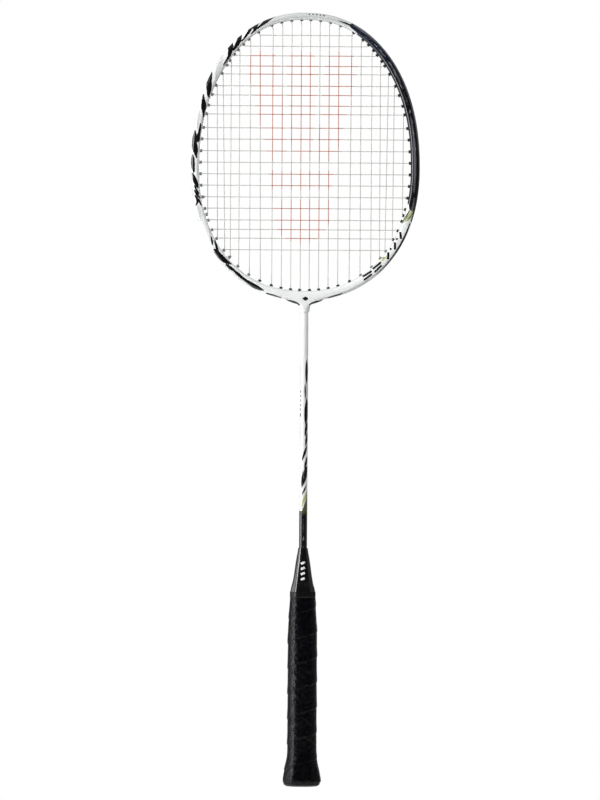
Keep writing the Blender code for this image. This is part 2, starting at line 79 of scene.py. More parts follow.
# Grommets: the barrel's profile is (radius, distance from its inner end).
BARREL_RADIUS, BORE_RADIUS = 1.35, 0.95
BARREL_END = -5.5
BARREL_PROFILE = (
    (BORE_RADIUS, 0), (BORE_RADIUS + 0.16, -0.2), (BARREL_RADIUS - 0.1, -0.24), (BARREL_RADIUS + 0.12, -0.14),
    (BARREL_RADIUS + 0.2, 0.05), (BARREL_RADIUS + 0.14, 0.25), (BARREL_RADIUS, 0.45), (BARREL_RADIUS, 0),
)
PLATE_BOTTOM, PLATE_TOP, PLATE_ROUNDING, CHAMFER = 2.28, 2.85, 0.14, 0.3
PLATE_OVERHANG, PLATE_GAP, PLATE_STEP = 2.8, 0.5, 2
SINGLE_GROMMETS, STRIP_HOLES = 5, 4
THROAT_EXIT, THROAT_PLATE_START = 7.9, 5.25
SHARED_HOLE_SPACING = 5
DARK_SIDE = (105, 312)

# Strings: the places of the runs, and how far out of the hoop's centreline they bend and run.
STRING_RADIUS = 0.35
STRING_RUN, STRING_MOUTH, STRING_TAIL = 3.45, -5.4, -7
BEND, BEND_RADIUS, NEARLY_STRAIGHT, LEG_SHARE = -5.8, 1.1, -0.985, 0.45
MAIN_LANE, CROSS_LANE = 0.5, -0.5
WEAVE = 0.34
MAIN_OFFSETS = (3.97, 12.2, 20.5, 28.9, 38.9, 48.4, 57.9, 65.4, 71.5, 77.5, 85.3)
CROSS_HEIGHTS = (
    465.6, 476, 485.2, 493.5, 503.7, 513.6, 523.8, 533.8, 543.9, 553.9, 564.2, 574.1, 583.8, 593.4, 602.8,
    610.6, 619.4, 628.2, 637.3, 645.6, 654.5,
)
MAIN_KNOT = ("cross", 5)
CROSS_KNOTS = (("main", 7, "low"), ("main", 5, "high"))
KNOT_TURNS, KNOT_RADIUS, KNOT_TILT, KNOT_STEPS = 2.5, 0.62, 0.072, 12

# Handle: half width, half depth and bevel of the octagon over the grip, and the grip's band, whose
# outline is (place across it from its lower edge, height over the grip's surface). The flare is over
# the butt, where the corners are sharper. Wrinkles are (size, scale round the handle, length along).
GRIP_HALF_WIDTH, GRIP_HALF_DEPTH, GRIP_BEVEL = 13.35, 12.15, 6.5
GRIP_LOW, GRIP_HIGH = 2.45, 167.2
GRIP_PHASE = math.radians(-90)
GRIP_SHARPNESS, BUTT_SHARPENING, SHARPENED_REACH = 8.5, 7.5, (8, 24)
GRIP_INSET, FLARE, FLARE_REACH, BUTT_TUCK, TUCK_REACH = 0.42, 3.9, (1, 31), 0.9, (GRIP_LOW, 5)
TOP_THINNING, THINNING_START, THINNING_LENGTH = 1.7, 132, 32
WRINKLES, CREASE_REACH = ((0.12, 1.3, 9), (0.07, 5, 2.8), (0.2, 4, 2.4)), (11, 22)
BAND_PITCH, BAND_WIDTH = 22, 26.5
BAND_OUTLINE = (
    (0, 0.04), (0, 0.18), (0.15, 0.28), (0.5, 0.34), (1.2, 0.36), (2.2, 0.34), (3.4, 0.28), (4.8, 0.2),
    (6.6, 0.11), (8.8, 0.03), (11.5, -0.02), (14.5, -0.03), (17.5, -0.04), (20, -0.07), (21.6, -0.11),
    (22.6, -0.17), (24, -0.34), (25.6, -0.62), (26.5, -0.8), (26.5, -1), (25, -1.08), (20, -1.1), (14, -1.1),
    (8, -1.06), (4.7, -0.7), (3.8, -0.1), (2, 0),
)

# Shaft, cone, tape and butt cap: outlines are (height, half width or distance over the octagon).
SHAFT_RADIUS, SHAFT_BORE, SHAFT_LOW, SHAFT_HIGH = 3.5, 2.6, 110, 421.2
SHAFT_PAINT_LOW, SHAFT_STEP, SHAFT_PAINT_STEP = 236, 6, 0.9
CONE_LOW, CONE_HIGH, CONE_STEP, CONE_EDGES = 168, 208, 0.4, (168.25, 207.4, 207.8)
CONE_WIDTH = (
    (168, 10.55), (168.25, 10.85), (168.8, 10.95), (171.5, 10.55), (175, 9.75), (178, 8.95), (181.5, 8.25),
    (185, 7.7), (189, 7.15), (193, 6.6), (197, 6), (200.5, 5.4), (203, 4.9), (206, 4.4), (207.4, 4.2),
    (207.8, 4.1), (208, 3.95),
)
CONE_ROUNDNESS = (
    (168, 0), (171, 0.05), (180, 0.4), (189, 0.78), (197, 1), (208, 1),
)
CONE_INSIDE = ((208, 3.72), (207.7, 3.58), (200, 3.56), (176, 6))
CONE_SOCKET = 9.2
CONE_SHARPNESS, HANDLE_SHARPNESS = 24, 17
TAPE_OUTLINE = (
    (164.6, -2.42), (164.6, -2.22), (164.75, -2.13), (166, -2.1), (168.2, -2.12),
    (169.45, -2.15), (169.6, -2.22), (169.6, -2.42),
)
TAPE_LAP, TAPE_LAP_TURN = 0.12, (0.9, 1.6)
CAP_OUTLINE = (
    (2.4, -2), (2.4, 2.1), (2.1, 2.4), (1.5, 2.2), (0.8, 1.45), (0.3, 0.6), (0.05, -0.05), (0, -0.5),
    (0, -1.6), (0.12, -1.9), (0.3, -2), (0.3, -3.2), (0.12, -3.4), (0, -3.7), (0, -7),
)
CAP_SPIGOT = ((8, 3.6), (7.6, 4), (2.4, 4))
CAP_DISH = ((0, 5.2), (0.25, 4.9), (0.4, 4), (0.45, 2))

# ---------------------------------------------------------------- numbers and outlines

FAR_OUTSIDE = -50.0


def smooth(low, high, value):
    """0 below low, 1 above high and an even curve between."""
    t = np.clip((np.asarray(value, float) - low) / (high - low), 0, 1)
    return t * t * (3 - 2 * t)


def curve_through(knots, at):
    """A smooth curve through (position, value) knots, which never overshoots between them."""
    x, y = np.array([k[0] for k in knots], float), np.array([k[1] for k in knots], float)
    step = np.diff(y) / np.diff(x)
    slope = np.zeros_like(y)
    for k in range(1, len(x) - 1):
        if step[k - 1] * step[k] > 0:
            slope[k] = 2 * step[k - 1] * step[k] / (step[k - 1] + step[k])
    slope[0], slope[-1] = step[0], step[-1]
    at = np.clip(np.asarray(at, float), x[0], x[-1])
    k = np.clip(np.searchsorted(x, at) - 1, 0, len(x) - 2)
    width = x[k + 1] - x[k]
    t = (at - x[k]) / width
    return (
        (1 + 2 * t) * (1 - t) ** 2 * y[k] + t * (1 - t) ** 2 * width * slope[k]
        + t * t * (3 - 2 * t) * y[k + 1] + t * t * (t - 1) * width * slope[k + 1]
    )


def full_turn(sides):
    """Angles at so many even steps round a circle."""
    return np.linspace(0, 2 * math.pi, sides, endpoint=False)


def subdivided(stops, longest):
    """The stops, with even steps between them that are no longer than a set length."""
    rows = []
    for low, high in zip(stops, stops[1:]):
        steps = max(1, math.ceil(abs(high - low) / longest))
        rows += [low + (high - low) * k / steps for k in range(steps)]
    return np.array(rows + [stops[-1]])


def polygon_field(points, polygons):
    """Distance inside the nearest of some outlines, in the plane; negative outside."""
    best = np.full(len(points), FAR_OUTSIDE)
    for polygon in polygons:
        corners = np.array(polygon, float)
        nearest = np.full(len(points), 1e9)
        inside = np.zeros(len(points), bool)
        for a, b in zip(corners, np.roll(corners, -1, axis=0)):
            edge, offset = b - a, points - a
            along = np.clip((offset @ edge) / (edge @ edge), 0, 1)
            nearest = np.minimum(nearest, np.hypot(*(offset - along[:, None] * edge).T))
            if a[1] != b[1]:
                crosses = (a[1] > points[:, 1]) != (b[1] > points[:, 1])
                inside ^= crosses & (points[:, 0] < a[0] + offset[:, 1] * edge[0] / edge[1])
        best = np.maximum(best, np.where(inside, nearest, -nearest))
    return best


def brush(places, shift=0, extra=0):
    """A stroke along (across, up, half width) places, moved up and widened by set amounts."""
    line = np.array(places, float) + (0, shift, extra)
    ahead = np.gradient(line[:, :2], axis=0)
    ahead /= np.hypot(*ahead.T)[:, None]
    aside = np.stack([-ahead[:, 1], ahead[:, 0]], axis=-1) * line[:, 2:]
    return [*(line[:, :2] + aside), *(line[:, :2] - aside)[::-1]]


def bar(start, end, half_width):
    """A straight stroke with square ends."""
    return brush(((*start, half_width), (*end, half_width)))


def sliver(start, end, half_width, belly=0.5):
    """A long pointed blade between two points, widest at a share of its length."""
    start, end = np.array(start, float), np.array(end, float)
    along = (end - start) / np.hypot(*(end - start))
    aside = np.array([-along[1], along[0]]) * half_width
    stations = ((belly * 0.45, 0.72), (belly, 1), (belly + (1 - belly) * 0.6, 0.66))
    upper = [start + (end - start) * share + aside * fullness for share, fullness in stations]
    lower = [start + (end - start) * share - aside * fullness for share, fullness in stations[::-1]]
    return [start, *upper, end, *lower]


# ---------------------------------------------------------------- meshes


def add_object(name, data):
    made = bpy.data.objects.new(name, data)
    bpy.context.scene.collection.objects.link(made)
    return made


def finish_with(piece, material):
    piece.data.materials.clear()
    piece.data.materials.append(material)


def make_piece(name, builder, node, material, fields=None, sharp=40):
    """A piece that stands for a CAD node, with a float attribute for each paint field."""
    mesh = bpy.data.meshes.new(name)
    mesh.from_pydata((np.asarray(builder.points, float) * MM).tolist(), [], builder.faces)
    mesh.update()
    for key, values in (fields or {}).items():
        layer = mesh.attributes.new(key, "FLOAT", "POINT")
        layer.data.foreach_set("value", np.asarray(values, np.float32))
    mesh.shade_smooth()
    mesh.set_sharp_from_angle(angle=math.radians(sharp))
    piece = add_object(name, mesh)
    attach(piece, "root")
    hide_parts(node)
    finish_with(piece, material)
    return piece


def merge_collapsed(piece, distance=0.001 * MM):
    """Merge points that lie on one place, with the faces between them that have no area."""
    shape = bmesh.new()
    shape.from_mesh(piece.data)
    bmesh.ops.remove_doubles(shape, verts=shape.verts, dist=distance)
    bmesh.ops.dissolve_degenerate(shape, edges=shape.edges, dist=distance)
    shape.to_mesh(piece.data)
    shape.free()


def grid_faces(rows, columns, wrap_rows=False, wrap_columns=True, first=0, flip=False):
    faces = []
    for i in range(rows if wrap_rows else rows - 1):
        for j in range(columns if wrap_columns else columns - 1):
            m, n = (i + 1) % rows, (j + 1) % columns
            face = (i * columns + j, i * columns + n, m * columns + n, m * columns + j)
            face = tuple(first + k for k in face)
            faces.append(face[::-1] if flip else face)
    return faces


def ring_faces(outer, inner, flip=False):
    """Faces between two loops of as many points."""
    faces = []
    for k, (o, i) in enumerate(zip(outer, inner)):
        n = (k + 1) % len(outer)
        face = (outer[n], o, i, inner[n])
        faces.append(face[::-1] if flip else face)
    return faces


class Builder:
    """Collects closed skins into one mesh."""

    def __init__(self):
        self.points, self.faces = [], []

    def add(self, points, faces):
        first = len(self.points)
        self.points += [tuple(p) for p in points]
        self.faces += [tuple(first + k for k in face) for face in faces]

    def add_tube(self, rings):
        """A closed ring of rings: a hollow turned or swept shape."""
        rings = np.asarray(rings, float)
        self.add(rings.reshape(-1, 3), grid_faces(len(rings), rings.shape[1], wrap_rows=True))

    def add_rod(self, rings):
        """Rings skinned end to end, with a fan over each end."""
        rings = np.asarray(rings, float)
        count, sides = rings.shape[:2]
        points = np.concatenate([rings.reshape(-1, 3), [rings[0].mean(0), rings[-1].mean(0)]])
        faces = grid_faces(count, sides)
        last = (count - 1) * sides
        for j in range(sides):
            n = (j + 1) % sides
            faces.append((count * sides, n, j))
            faces.append((count * sides + 1, last + j, last + n))
        self.add(points, faces)


def rounded_corners(route, radius, steps=4):
    """A polyline with its sharp corners turned into arcs."""
    route = [np.asarray(p, float) for p in route]
    out = [route[0]]
    for before, corner, after in zip(route, route[1:], route[2:]):
        a, b = before - corner, after - corner
        la, lb = np.linalg.norm(a), np.linalg.norm(b)
        a, b = a / la, b / lb
        if a @ b < NEARLY_STRAIGHT:
            out.append(corner)
            continue
        reach = min(radius, LEG_SHARE * la, LEG_SHARE * lb)
        start, end = corner + a * reach, corner + b * reach
        for k in range(steps + 1):
            t = k / steps
            out.append((1 - t) ** 2 * start + 2 * t * (1 - t) * corner + t * t * end)
    out.append(route[-1])
    return np.array(out)


def swept_circle(route, radius, sides=8):
    """Rings along a route, carried from one to the next without twist."""
    ahead = np.gradient(np.asarray(route, float), axis=0)
    ahead /= np.linalg.norm(ahead, axis=1)[:, None]
    side = np.cross(ahead[0], [0, 1, 0])
    turn = full_turn(sides)[:, None]
    rings = []
    for place, along in zip(route, ahead):
        side = side - along * (side @ along)
        side /= np.linalg.norm(side)
        rings.append(place + radius * (np.cos(turn) * side + np.sin(turn) * np.cross(along, side)))
    return np.array(rings)


# ---------------------------------------------------------------- the hoop's centreline


def hoop_table(steps=7200):
    """Arc positions along the centreline from its bottom, with their places and outward normals."""
    turn = np.linspace(-math.pi / 2, 1.5 * math.pi, steps + 1)
    across, up = np.cos(turn), np.sin(turn)
    reach = np.where(up >= 0, HOOP_TOP - HOOP_WIDEST, HOOP_WIDEST - HOOP_BOTTOM)
    power = 2 / HOOP_EXPONENT
    x = HOOP_HALF_WIDTH * np.sign(across) * np.abs(across) ** power
    dz = reach * np.sign(up) * np.abs(up) ** power
    slope = HOOP_EXPONENT - 1
    normal_x = np.sign(x) * (np.abs(x) / HOOP_HALF_WIDTH) ** slope / HOOP_HALF_WIDTH
    normal_z = np.sign(dz) * (np.abs(dz) / reach) ** slope / reach
    size = np.hypot(normal_x, normal_z)
    arc = np.concatenate([[0], np.cumsum(np.hypot(np.diff(x), np.diff(dz)))])
    return arc, x, dz + HOOP_WIDEST, normal_x / size, normal_z / size


HOOP_ARC, HOOP_X, HOOP_Z, HOOP_NX, HOOP_NZ = hoop_table()
HOOP_LENGTH = float(HOOP_ARC[-1])


def signed_arc(arc):
    """The arc position from the bottom middle: positive on the right, negative on the left."""
    return (np.asarray(arc, float) + HOOP_LENGTH / 2) % HOOP_LENGTH - HOOP_LENGTH / 2


def swell(arc):
    return THROAT_SWELL * np.exp(-((signed_arc(arc) / THROAT_SWELL_REACH) ** 2))


def slim(arc):
    """How much of its inward reach the hoop keeps: less over the crown, where it is slimmer."""
    return 1 - CROWN_SLIMMING * smooth(*CROWN_REACH, np.abs(signed_arc(arc)))


def on_hoop(arc, out, depth=0):
    """Points at arc positions, distances outwards and depths."""
    arc, out, depth = np.broadcast_arrays(*(np.asarray(v, float) for v in (arc, out, depth)))
    where = arc % HOOP_LENGTH
    x, z, nx, nz = (np.interp(where, HOOP_ARC, c) for c in (HOOP_X, HOOP_Z, HOOP_NX, HOOP_NZ))
    swollen = swell(arc) * smooth(-1, GROOVE_FLOOR, out)
    out = np.where(out < 0, out * slim(arc), out) + swollen
    return np.stack([x + nx * out, depth, z + nz * out], axis=-1)


# ---------------------------------------------------------------- drilled holes


def arc_where(axis, value, upper):
    right = (HOOP_X >= 0) & ((HOOP_Z > HOOP_WIDEST) == upper)
    line = HOOP_X + STRING_MOUTH * HOOP_NX if axis == "x" else HOOP_Z + STRING_MOUTH * HOOP_NZ
    return float(HOOP_ARC[int(np.argmin(np.where(right, np.abs(line - value), np.inf)))])


def drilled_holes():
    """Holes of the right half from throat to top: (arc position, names of its string ends)."""
    ends = []
    for number, offset in enumerate(MAIN_OFFSETS):
        for place, upper in (("low", False), ("high", True)):
            ends.append((arc_where("x", offset, upper), ("main", number, place)))
    for number, height in enumerate(CROSS_HEIGHTS):
        ends.append((arc_where("z", height, height > HOOP_WIDEST), ("cross", number)))
    ends.sort()
    holes = []
    for arc, name in ends:
        if holes and arc - holes[-1][0] < SHARED_HOLE_SPACING:
            first_arc, names = holes.pop()
            holes.append(((first_arc + arc) / 2, names + [name]))
        else:
            holes.append((arc, [name]))
    return holes


HOLES = drilled_holes()
HOLE_ARCS = [arc for arc, names in HOLES]
HOLE_OF = {name: arc for arc, names in HOLES for name in names}


def exit_arc(arc):
    """Where a hole leaves the hoop: the two beside the neck slant away from it."""
    return math.copysign(THROAT_EXIT, arc) if abs(arc) == HOLE_ARCS[0] else arc


# ---------------------------------------------------------------- head frame


def section_reach(depth):
    """How far the hoop's rounded section reaches outwards, or inwards, at a depth."""
    share = np.clip(np.abs(depth) / HOOP_DEPTH, 0, 1)
    return HOOP_REACH * (1 - share ** SECTION_EXPONENT) ** (1 / SECTION_EXPONENT)


def half_section():
    """(out, depth) points from beside the groove's middle to beside the inner face's middle."""
    half = list(GROOVE_SIDE)
    lip, face = (math.asin((d / HOOP_DEPTH) ** (SECTION_EXPONENT / 2)) for d in (LIP_DEPTH, FACE_DEPTH))
    power = 2 / SECTION_EXPONENT
    for k in range(SECTION_STEPS + 1):
        angle = lip + (math.pi - face - lip) * k / SECTION_STEPS
        out = HOOP_REACH * math.copysign(abs(math.cos(angle)) ** power, math.cos(angle))
        half.append((out, HOOP_DEPTH * math.sin(angle) ** power))
    half.append((-float(section_reach(PATCH_DEPTHS[3])), PATCH_DEPTHS[3]))
    return half


def hole_blocks():
    """The rows of cells to open for each hole: (arcs, centre, opens outside, opens inside)."""
    blocks = []
    for arc in HOLE_ARCS:
        leave = exit_arc(arc)
        if leave == arc:
            blocks.append(([arc + line for line in PATCH_LINES], arc, True, True))
            continue
        joint = (arc + leave) / 2
        blocks.append(([joint - 2 + line for line in PATCH_LINES], arc, False, True))
        blocks.append(([joint + 2 + line for line in PATCH_LINES], leave, True, False))
    mirrored = [([HOOP_LENGTH - a for a in reversed(arcs)], HOOP_LENGTH - centre, outside, inside)
                for arcs, centre, outside, inside in blocks]
    return blocks + mirrored[::-1]


PATCH_WALK = (
    [(i, 0) for i in range(4)] + [(4, j) for j in range(4)]
    + [(i, 4) for i in range(4, 0, -1)] + [(0, j) for j in range(4, 0, -1)]
)
PATCH_ANGLES = [math.radians(-135 + 22.5 * k) for k in range(16)]


def hoop_skin():
    """Points, faces and (arc, out) places of the hoop, with a tube through it at every hole."""
    half = half_section()
    section = [(GROOVE_FLOOR, 0)] + half + [(-HOOP_REACH, 0)] + [(o, -d) for o, d in half[::-1]]
    out, depth = np.array(section).T
    blocks = hole_blocks()
    stops = {round(a, 5) for arcs, *_ in blocks for a in arcs} | {0, round(HOOP_LENGTH / 2, 5)}
    rows = subdivided(sorted(stops) + [HOOP_LENGTH], STATION_STEP)[:-1]
    count, columns, middle = len(rows), len(section), len(half) + 1
    points = list(on_hoop(rows[:, None], out[None, :], depth[None, :]).reshape(-1, 3))
    places = [(a, o) for a in rows for o in out]
    faces, opened, rims = [], set(), {True: [], False: []}
    for arcs, centre, *sides in blocks:
        first_row = int(np.argmin(np.abs(rows - arcs[0])))
        for outside, wanted in zip((True, False), sides):
            if not wanted:
                continue
            order = range(-2, 3) if outside else range(middle + 2, middle - 3, -1)
            patch = [[(first_row + i) * columns + j % columns for j in order] for i in range(5)]
            low = -2 if outside else middle - 2
            opened |= {(first_row + i, (low + j) % columns) for i in range(4) for j in range(4)}
            rim = list(range(len(points), len(points) + len(PATCH_ANGLES)))
            for angle in PATCH_ANGLES:
                arc, across = centre + DRILL_RADIUS * math.cos(angle), DRILL_RADIUS * math.sin(angle)
                level = GROOVE_FLOOR if outside else -float(section_reach(across))
                points.append(on_hoop(arc, level, across))
                places.append((arc, level))
            faces += ring_faces([patch[i][j] for i, j in PATCH_WALK], rim, flip=not outside)
            rims[outside].append(rim)
    for outer, inner in zip(rims[True], rims[False]):
        faces += ring_faces(outer, inner)
    cells = grid_faces(count, columns, wrap_rows=True)
    faces += [face for k, face in enumerate(cells) if divmod(k, columns) not in opened]
    return points, faces, places


def neck_skin(sides=64):
    """The neck: round at the shaft, flared to the hoop's two lips on either side of the groove."""
    levels = [*NECK_EDGE, *np.arange(NECK_ROUND, NECK_TOP, NECK_STEP)]
    across, back = np.cos(full_turn(sides)), np.sin(full_turn(sides))
    rings = []
    for z in levels:
        width, deep, flare = (float(curve_through(k, z)) for k in (NECK_WIDTHS, NECK_DEPTHS, NECK_FLARE))
        boxy = 2 + 1.2 * float(smooth(NECK_ROUND, NECK_BOXY, z))
        depth = deep * np.sign(back) * np.abs(back) ** (2 / boxy)
        x = width * np.sign(across) * np.abs(across) ** (2 / boxy)
        rounding = np.clip((deep - np.abs(depth)) / NECK_LIP_ROUNDING, 0, 1) ** 0.5
        wing = smooth(*NECK_LIP, np.abs(depth)) * rounding
        x = x + np.sign(across) * flare * wing * smooth(*NECK_FLARE_START, np.abs(across))
        rings.append(np.stack([x, depth, np.full_like(x, z)], axis=-1))
    return np.array(rings)


# ---------------------------------------------------------------- grommets


def plate_ends(first, last):
    """Start and end of the plate over the holes with these indexes, clear of its neighbours."""
    exits = [exit_arc(arc) for arc in HOLE_ARCS]
    before = exits[first] - exits[first - 1] if first else 2 * (exits[0] - THROAT_PLATE_START)
    after = exits[last + 1] - exits[last] if last + 1 < len(exits) else HOOP_LENGTH - 2 * exits[last]
    start = exits[first] - min(PLATE_OVERHANG, (before - PLATE_GAP) / 2)
    end = exits[last] + min(PLATE_OVERHANG, (after - PLATE_GAP) / 2)
    return start, end


def barrel_loops(points, arc):
    """Add the rings of one barrel from the plate's top through its bore and back to the plate."""
    centre = exit_arc(arc)
    mouth, leave = on_hoop(arc, STRING_MOUTH), on_hoop(centre, STRING_RUN)
    axis = (leave - mouth) / np.linalg.norm(leave - mouth)
    across = np.array([0, 1, 0])
    along = np.cross(across, axis)
    along *= math.copysign(1, along @ (on_hoop(centre + 1, 2) - on_hoop(centre - 1, 2)))
    end = mouth + axis * (BARREL_END - STRING_MOUTH)
    rings = [(BORE_RADIUS + CHAMFER, PLATE_TOP, None), (BORE_RADIUS, PLATE_TOP - CHAMFER, None)]
    rings += [(radius, None, end + axis * rise) for radius, rise in BARREL_PROFILE]
    rings.append((BARREL_RADIUS, PLATE_BOTTOM, None))
    loops = []
    for radius, level, place in rings:
        loops.append(list(range(len(points), len(points) + len(PATCH_ANGLES))))
        for angle in PATCH_ANGLES:
            ca, sa = radius * math.cos(angle), radius * math.sin(angle)
            if place is None:
                points.append(on_hoop(centre + ca, level, sa))
            else:
                points.append(place + ca * along + sa * across)
    return loops


def grommet_builder(arcs, start, end):
    """One plate in the groove from start to end with a beaded barrel through every hole."""
    low, high = sorted((start, end))
    blocks = []
    for arc in sorted(arcs):
        centre = exit_arc(arc)
        blocks.append((arc, [max(low, centre - 2), centre - 1, centre, centre + 1, min(high, centre + 2)]))
    stops = {round(a, 5) for arc, block in blocks for a in block} | {round(low, 5), round(high, 5)}
    rows = subdivided(sorted(stops), PLATE_STEP)
    count, columns = len(rows), len(PATCH_DEPTHS)
    skins = {PLATE_TOP: 0, PLATE_BOTTOM: count * columns}
    points, faces, opened = [], [], set()
    for level in skins:
        for i, arc in enumerate(rows):
            for depth in PATCH_DEPTHS:
                edge = i in (0, count - 1) or abs(depth) == PATCH_DEPTHS[-1]
                drop = PLATE_ROUNDING if edge and level == PLATE_TOP else 0
                points.append(on_hoop(arc, level - drop, depth))
    for arc, block in blocks:
        first_row = int(np.argmin(np.abs(rows - block[0])))
        loops = barrel_loops(points, arc)
        for a, b in zip(loops, loops[1:]):
            faces += ring_faces(a, b)
        for level, loop in ((PLATE_TOP, loops[0]), (PLATE_BOTTOM, loops[-1])):
            border = [skins[level] + (first_row + i) * columns + j for i, j in PATCH_WALK]
            faces += ring_faces(border, loop, flip=level == PLATE_BOTTOM)
        opened |= {(first_row + i, j) for i in range(4) for j in range(4)}
    for level, first in skins.items():
        cells = grid_faces(count, columns, wrap_columns=False, first=first, flip=level == PLATE_BOTTOM)
        faces += [face for k, face in enumerate(cells) if divmod(k, columns - 1) not in opened]
    rim = [i * columns for i in range(count)]
    rim += [(count - 1) * columns + j for j in range(1, columns)]
    rim += [i * columns + columns - 1 for i in range(count - 2, -1, -1)]
    rim += list(range(columns - 2, 0, -1))
    faces += ring_faces([skins[PLATE_BOTTOM] + k for k in rim], rim)
    builder = Builder()
    builder.add(points, faces)
    return builder


# ---------------------------------------------------------------- strings


def outside_run(start, end, lane):
    """Points along the groove between two holes, both ends included."""
    return [on_hoop(arc, STRING_RUN, lane) for arc in subdivided([exit_arc(start), exit_arc(end)], 2)]


def main_ends(side, number):
    """Low and high inner mouths of a main string."""
    arcs = (side * HOLE_OF[("main", number, place)] for place in ("low", "high"))
    return [on_hoop(arc, BEND / slim(arc), MAIN_LANE) for arc in arcs]


def cross_ends(number):
    """Left and right inner mouths of a cross string."""
    arc = HOLE_OF[("cross", number)]
    return [on_hoop(side * arc, BEND / slim(arc), CROSS_LANE) for side in (-1, 1)]


def crossings():
    """Where the runs pass each other: the (x, z, depth) bends of each, by (side, main) or cross."""
    bends = defaultdict(list)
    for number in range(len(MAIN_OFFSETS)):
        for side in (1, -1):
            low, high = main_ends(side, number)
            rank = number if side > 0 else -number - 1
            for cross in range(len(CROSS_HEIGHTS)):
                left, right = cross_ends(cross)
                share = (left[2] - low[2]) / (high[2] - low[2])
                x = low[0] + (high[0] - low[0]) * share
                if 0 < share < 1 and left[0] < x < right[0]:
                    over = WEAVE if (rank + cross) % 2 else -WEAVE
                    bends[(side, number)].append((x, left[2], over))
                    bends[cross].append((x, left[2], -over))
    return bends


BENDS = crossings()


def woven(ends, bends, forwards, steps=4):
    """Points from mouth to mouth that swing between the bends, or the same from the other end."""
    start, end = ends
    along = end - start
    shares = []
    for x, z, depth in bends:
        shares.append((float((np.array([x, 0, z]) - start) @ along) / (along @ along), depth))
    knots = [(0, start[1])] + sorted(shares) + [(1, end[1])]
    out = []
    for (a, da), (b, db) in zip(knots, knots[1:]):
        for k in range(steps):
            ease = (1 - math.cos(math.pi * k / steps)) / 2
            place = start + along * (a + (b - a) * k / steps)
            out.append(np.array([place[0], da + (db - da) * ease, place[2]]))
    out.append(end)
    return out if forwards else out[::-1]


def main_route():
    """The mains: each half weaves from the top middle to its knot."""
    halves = []
    for side in (-1, 1):
        arc = HOLE_OF[("main", 0, "high")]
        half = [on_hoop(side * arc, STRING_RUN, MAIN_LANE)]
        for number in range(len(MAIN_OFFSETS)):
            places = ("low", "high") if number % 2 else ("high", "low")
            entry, leave = (HOLE_OF[("main", number, place)] for place in places)
            if number:
                half += outside_run(side * arc, side * entry, MAIN_LANE)
            half += woven(main_ends(side, number), BENDS[(side, number)], forwards=number % 2)
            arc = leave
        knot = side * HOLE_OF[MAIN_KNOT]
        half += outside_run(side * arc, knot, MAIN_LANE)
        half.append(on_hoop(knot, STRING_TAIL, MAIN_LANE))
        halves.append(half)
    left, right = halves
    return left[::-1] + [on_hoop(HOOP_LENGTH / 2, STRING_RUN, MAIN_LANE)] + right


def cross_route():
    """The crosses, from the lowest to the highest."""
    arc = -HOLE_OF[CROSS_KNOTS[0]]
    route = [on_hoop(arc, STRING_TAIL, CROSS_LANE)]
    for number in range(len(CROSS_HEIGHTS)):
        side = 1 if number % 2 else -1
        entry = side * HOLE_OF[("cross", number)]
        route += outside_run(arc, entry, CROSS_LANE)
        route += woven(cross_ends(number), BENDS[number], forwards=side < 0)
        arc = -entry
    last_knot = HOLE_OF[CROSS_KNOTS[1]]
    route += outside_run(arc, last_knot, CROSS_LANE)
    route.append(on_hoop(last_knot, STRING_TAIL, CROSS_LANE))
    return route


def knot_rings(arc, lane):
    """The turns of a knot drawn tight round a string's tail, just inside the hoop."""
    tail, head = on_hoop(arc, STRING_TAIL + 0.2, lane), on_hoop(arc, BEND, lane)
    axis = (head - tail) / np.linalg.norm(head - tail)
    side = np.cross(axis, [0, 1, 0])
    other = np.cross(axis, side)
    route = []
    for k in range(int(KNOT_TURNS * KNOT_STEPS) + 1):
        share, angle = k / (KNOT_TURNS * KNOT_STEPS), 2 * math.pi * k / KNOT_STEPS
        centre = tail + (head - tail) * min(1, share + KNOT_TILT * math.sin(angle))
        route.append(centre + KNOT_RADIUS * (math.cos(angle) * side + math.sin(angle) * other))
    return swept_circle(route, STRING_RADIUS * 0.9)


def string_builder(route, knots, lane):
    builder = Builder()
    route = rounded_corners(route, BEND_RADIUS)
    keep = [0] + [k for k in range(1, len(route)) if np.linalg.norm(route[k] - route[k - 1]) > 1e-3]
    builder.add_rod(swept_circle(route[keep], STRING_RADIUS))
    for arc in knots:
        builder.add_rod(knot_rings(arc, lane))
    return builder


# ---------------------------------------------------------------- shaft, cone and handle


def handle_reach(turn, outset, sharpness):
    """Distance from the axis to the handle's round-cornered octagon, moved outwards all round."""
    half_width, half_depth = GRIP_HALF_WIDTH + outset, GRIP_HALF_DEPTH + outset
    bevel = GRIP_BEVEL + outset * (2 - math.sqrt(2))
    diagonal = (half_width + half_depth - bevel) / math.sqrt(2)
    total = 0
    for k in range(8):
        distance = (half_width, diagonal, half_depth, diagonal)[k % 4]
        facing = np.maximum(0, np.cos(turn - k * math.pi / 4))
        total = total + (facing / distance) ** sharpness
    return total ** (-1 / sharpness)


def ring_at(turn, reach, z):
    turn, reach, z = np.broadcast_arrays(turn, reach, z)
    return np.stack([reach * np.cos(turn), reach * np.sin(turn), z], axis=-1)


def shaft_rings(sides=56):
    turn = full_turn(sides)
    plain = np.arange(SHAFT_LOW, SHAFT_PAINT_LOW, SHAFT_STEP)
    heights = [*plain, *np.arange(SHAFT_PAINT_LOW, SHAFT_HIGH, SHAFT_PAINT_STEP), SHAFT_HIGH]
    outside = [ring_at(turn, SHAFT_RADIUS, z) for z in heights]
    return np.array(outside + [ring_at(turn, SHAFT_BORE, z) for z in (SHAFT_HIGH, SHAFT_LOW)])


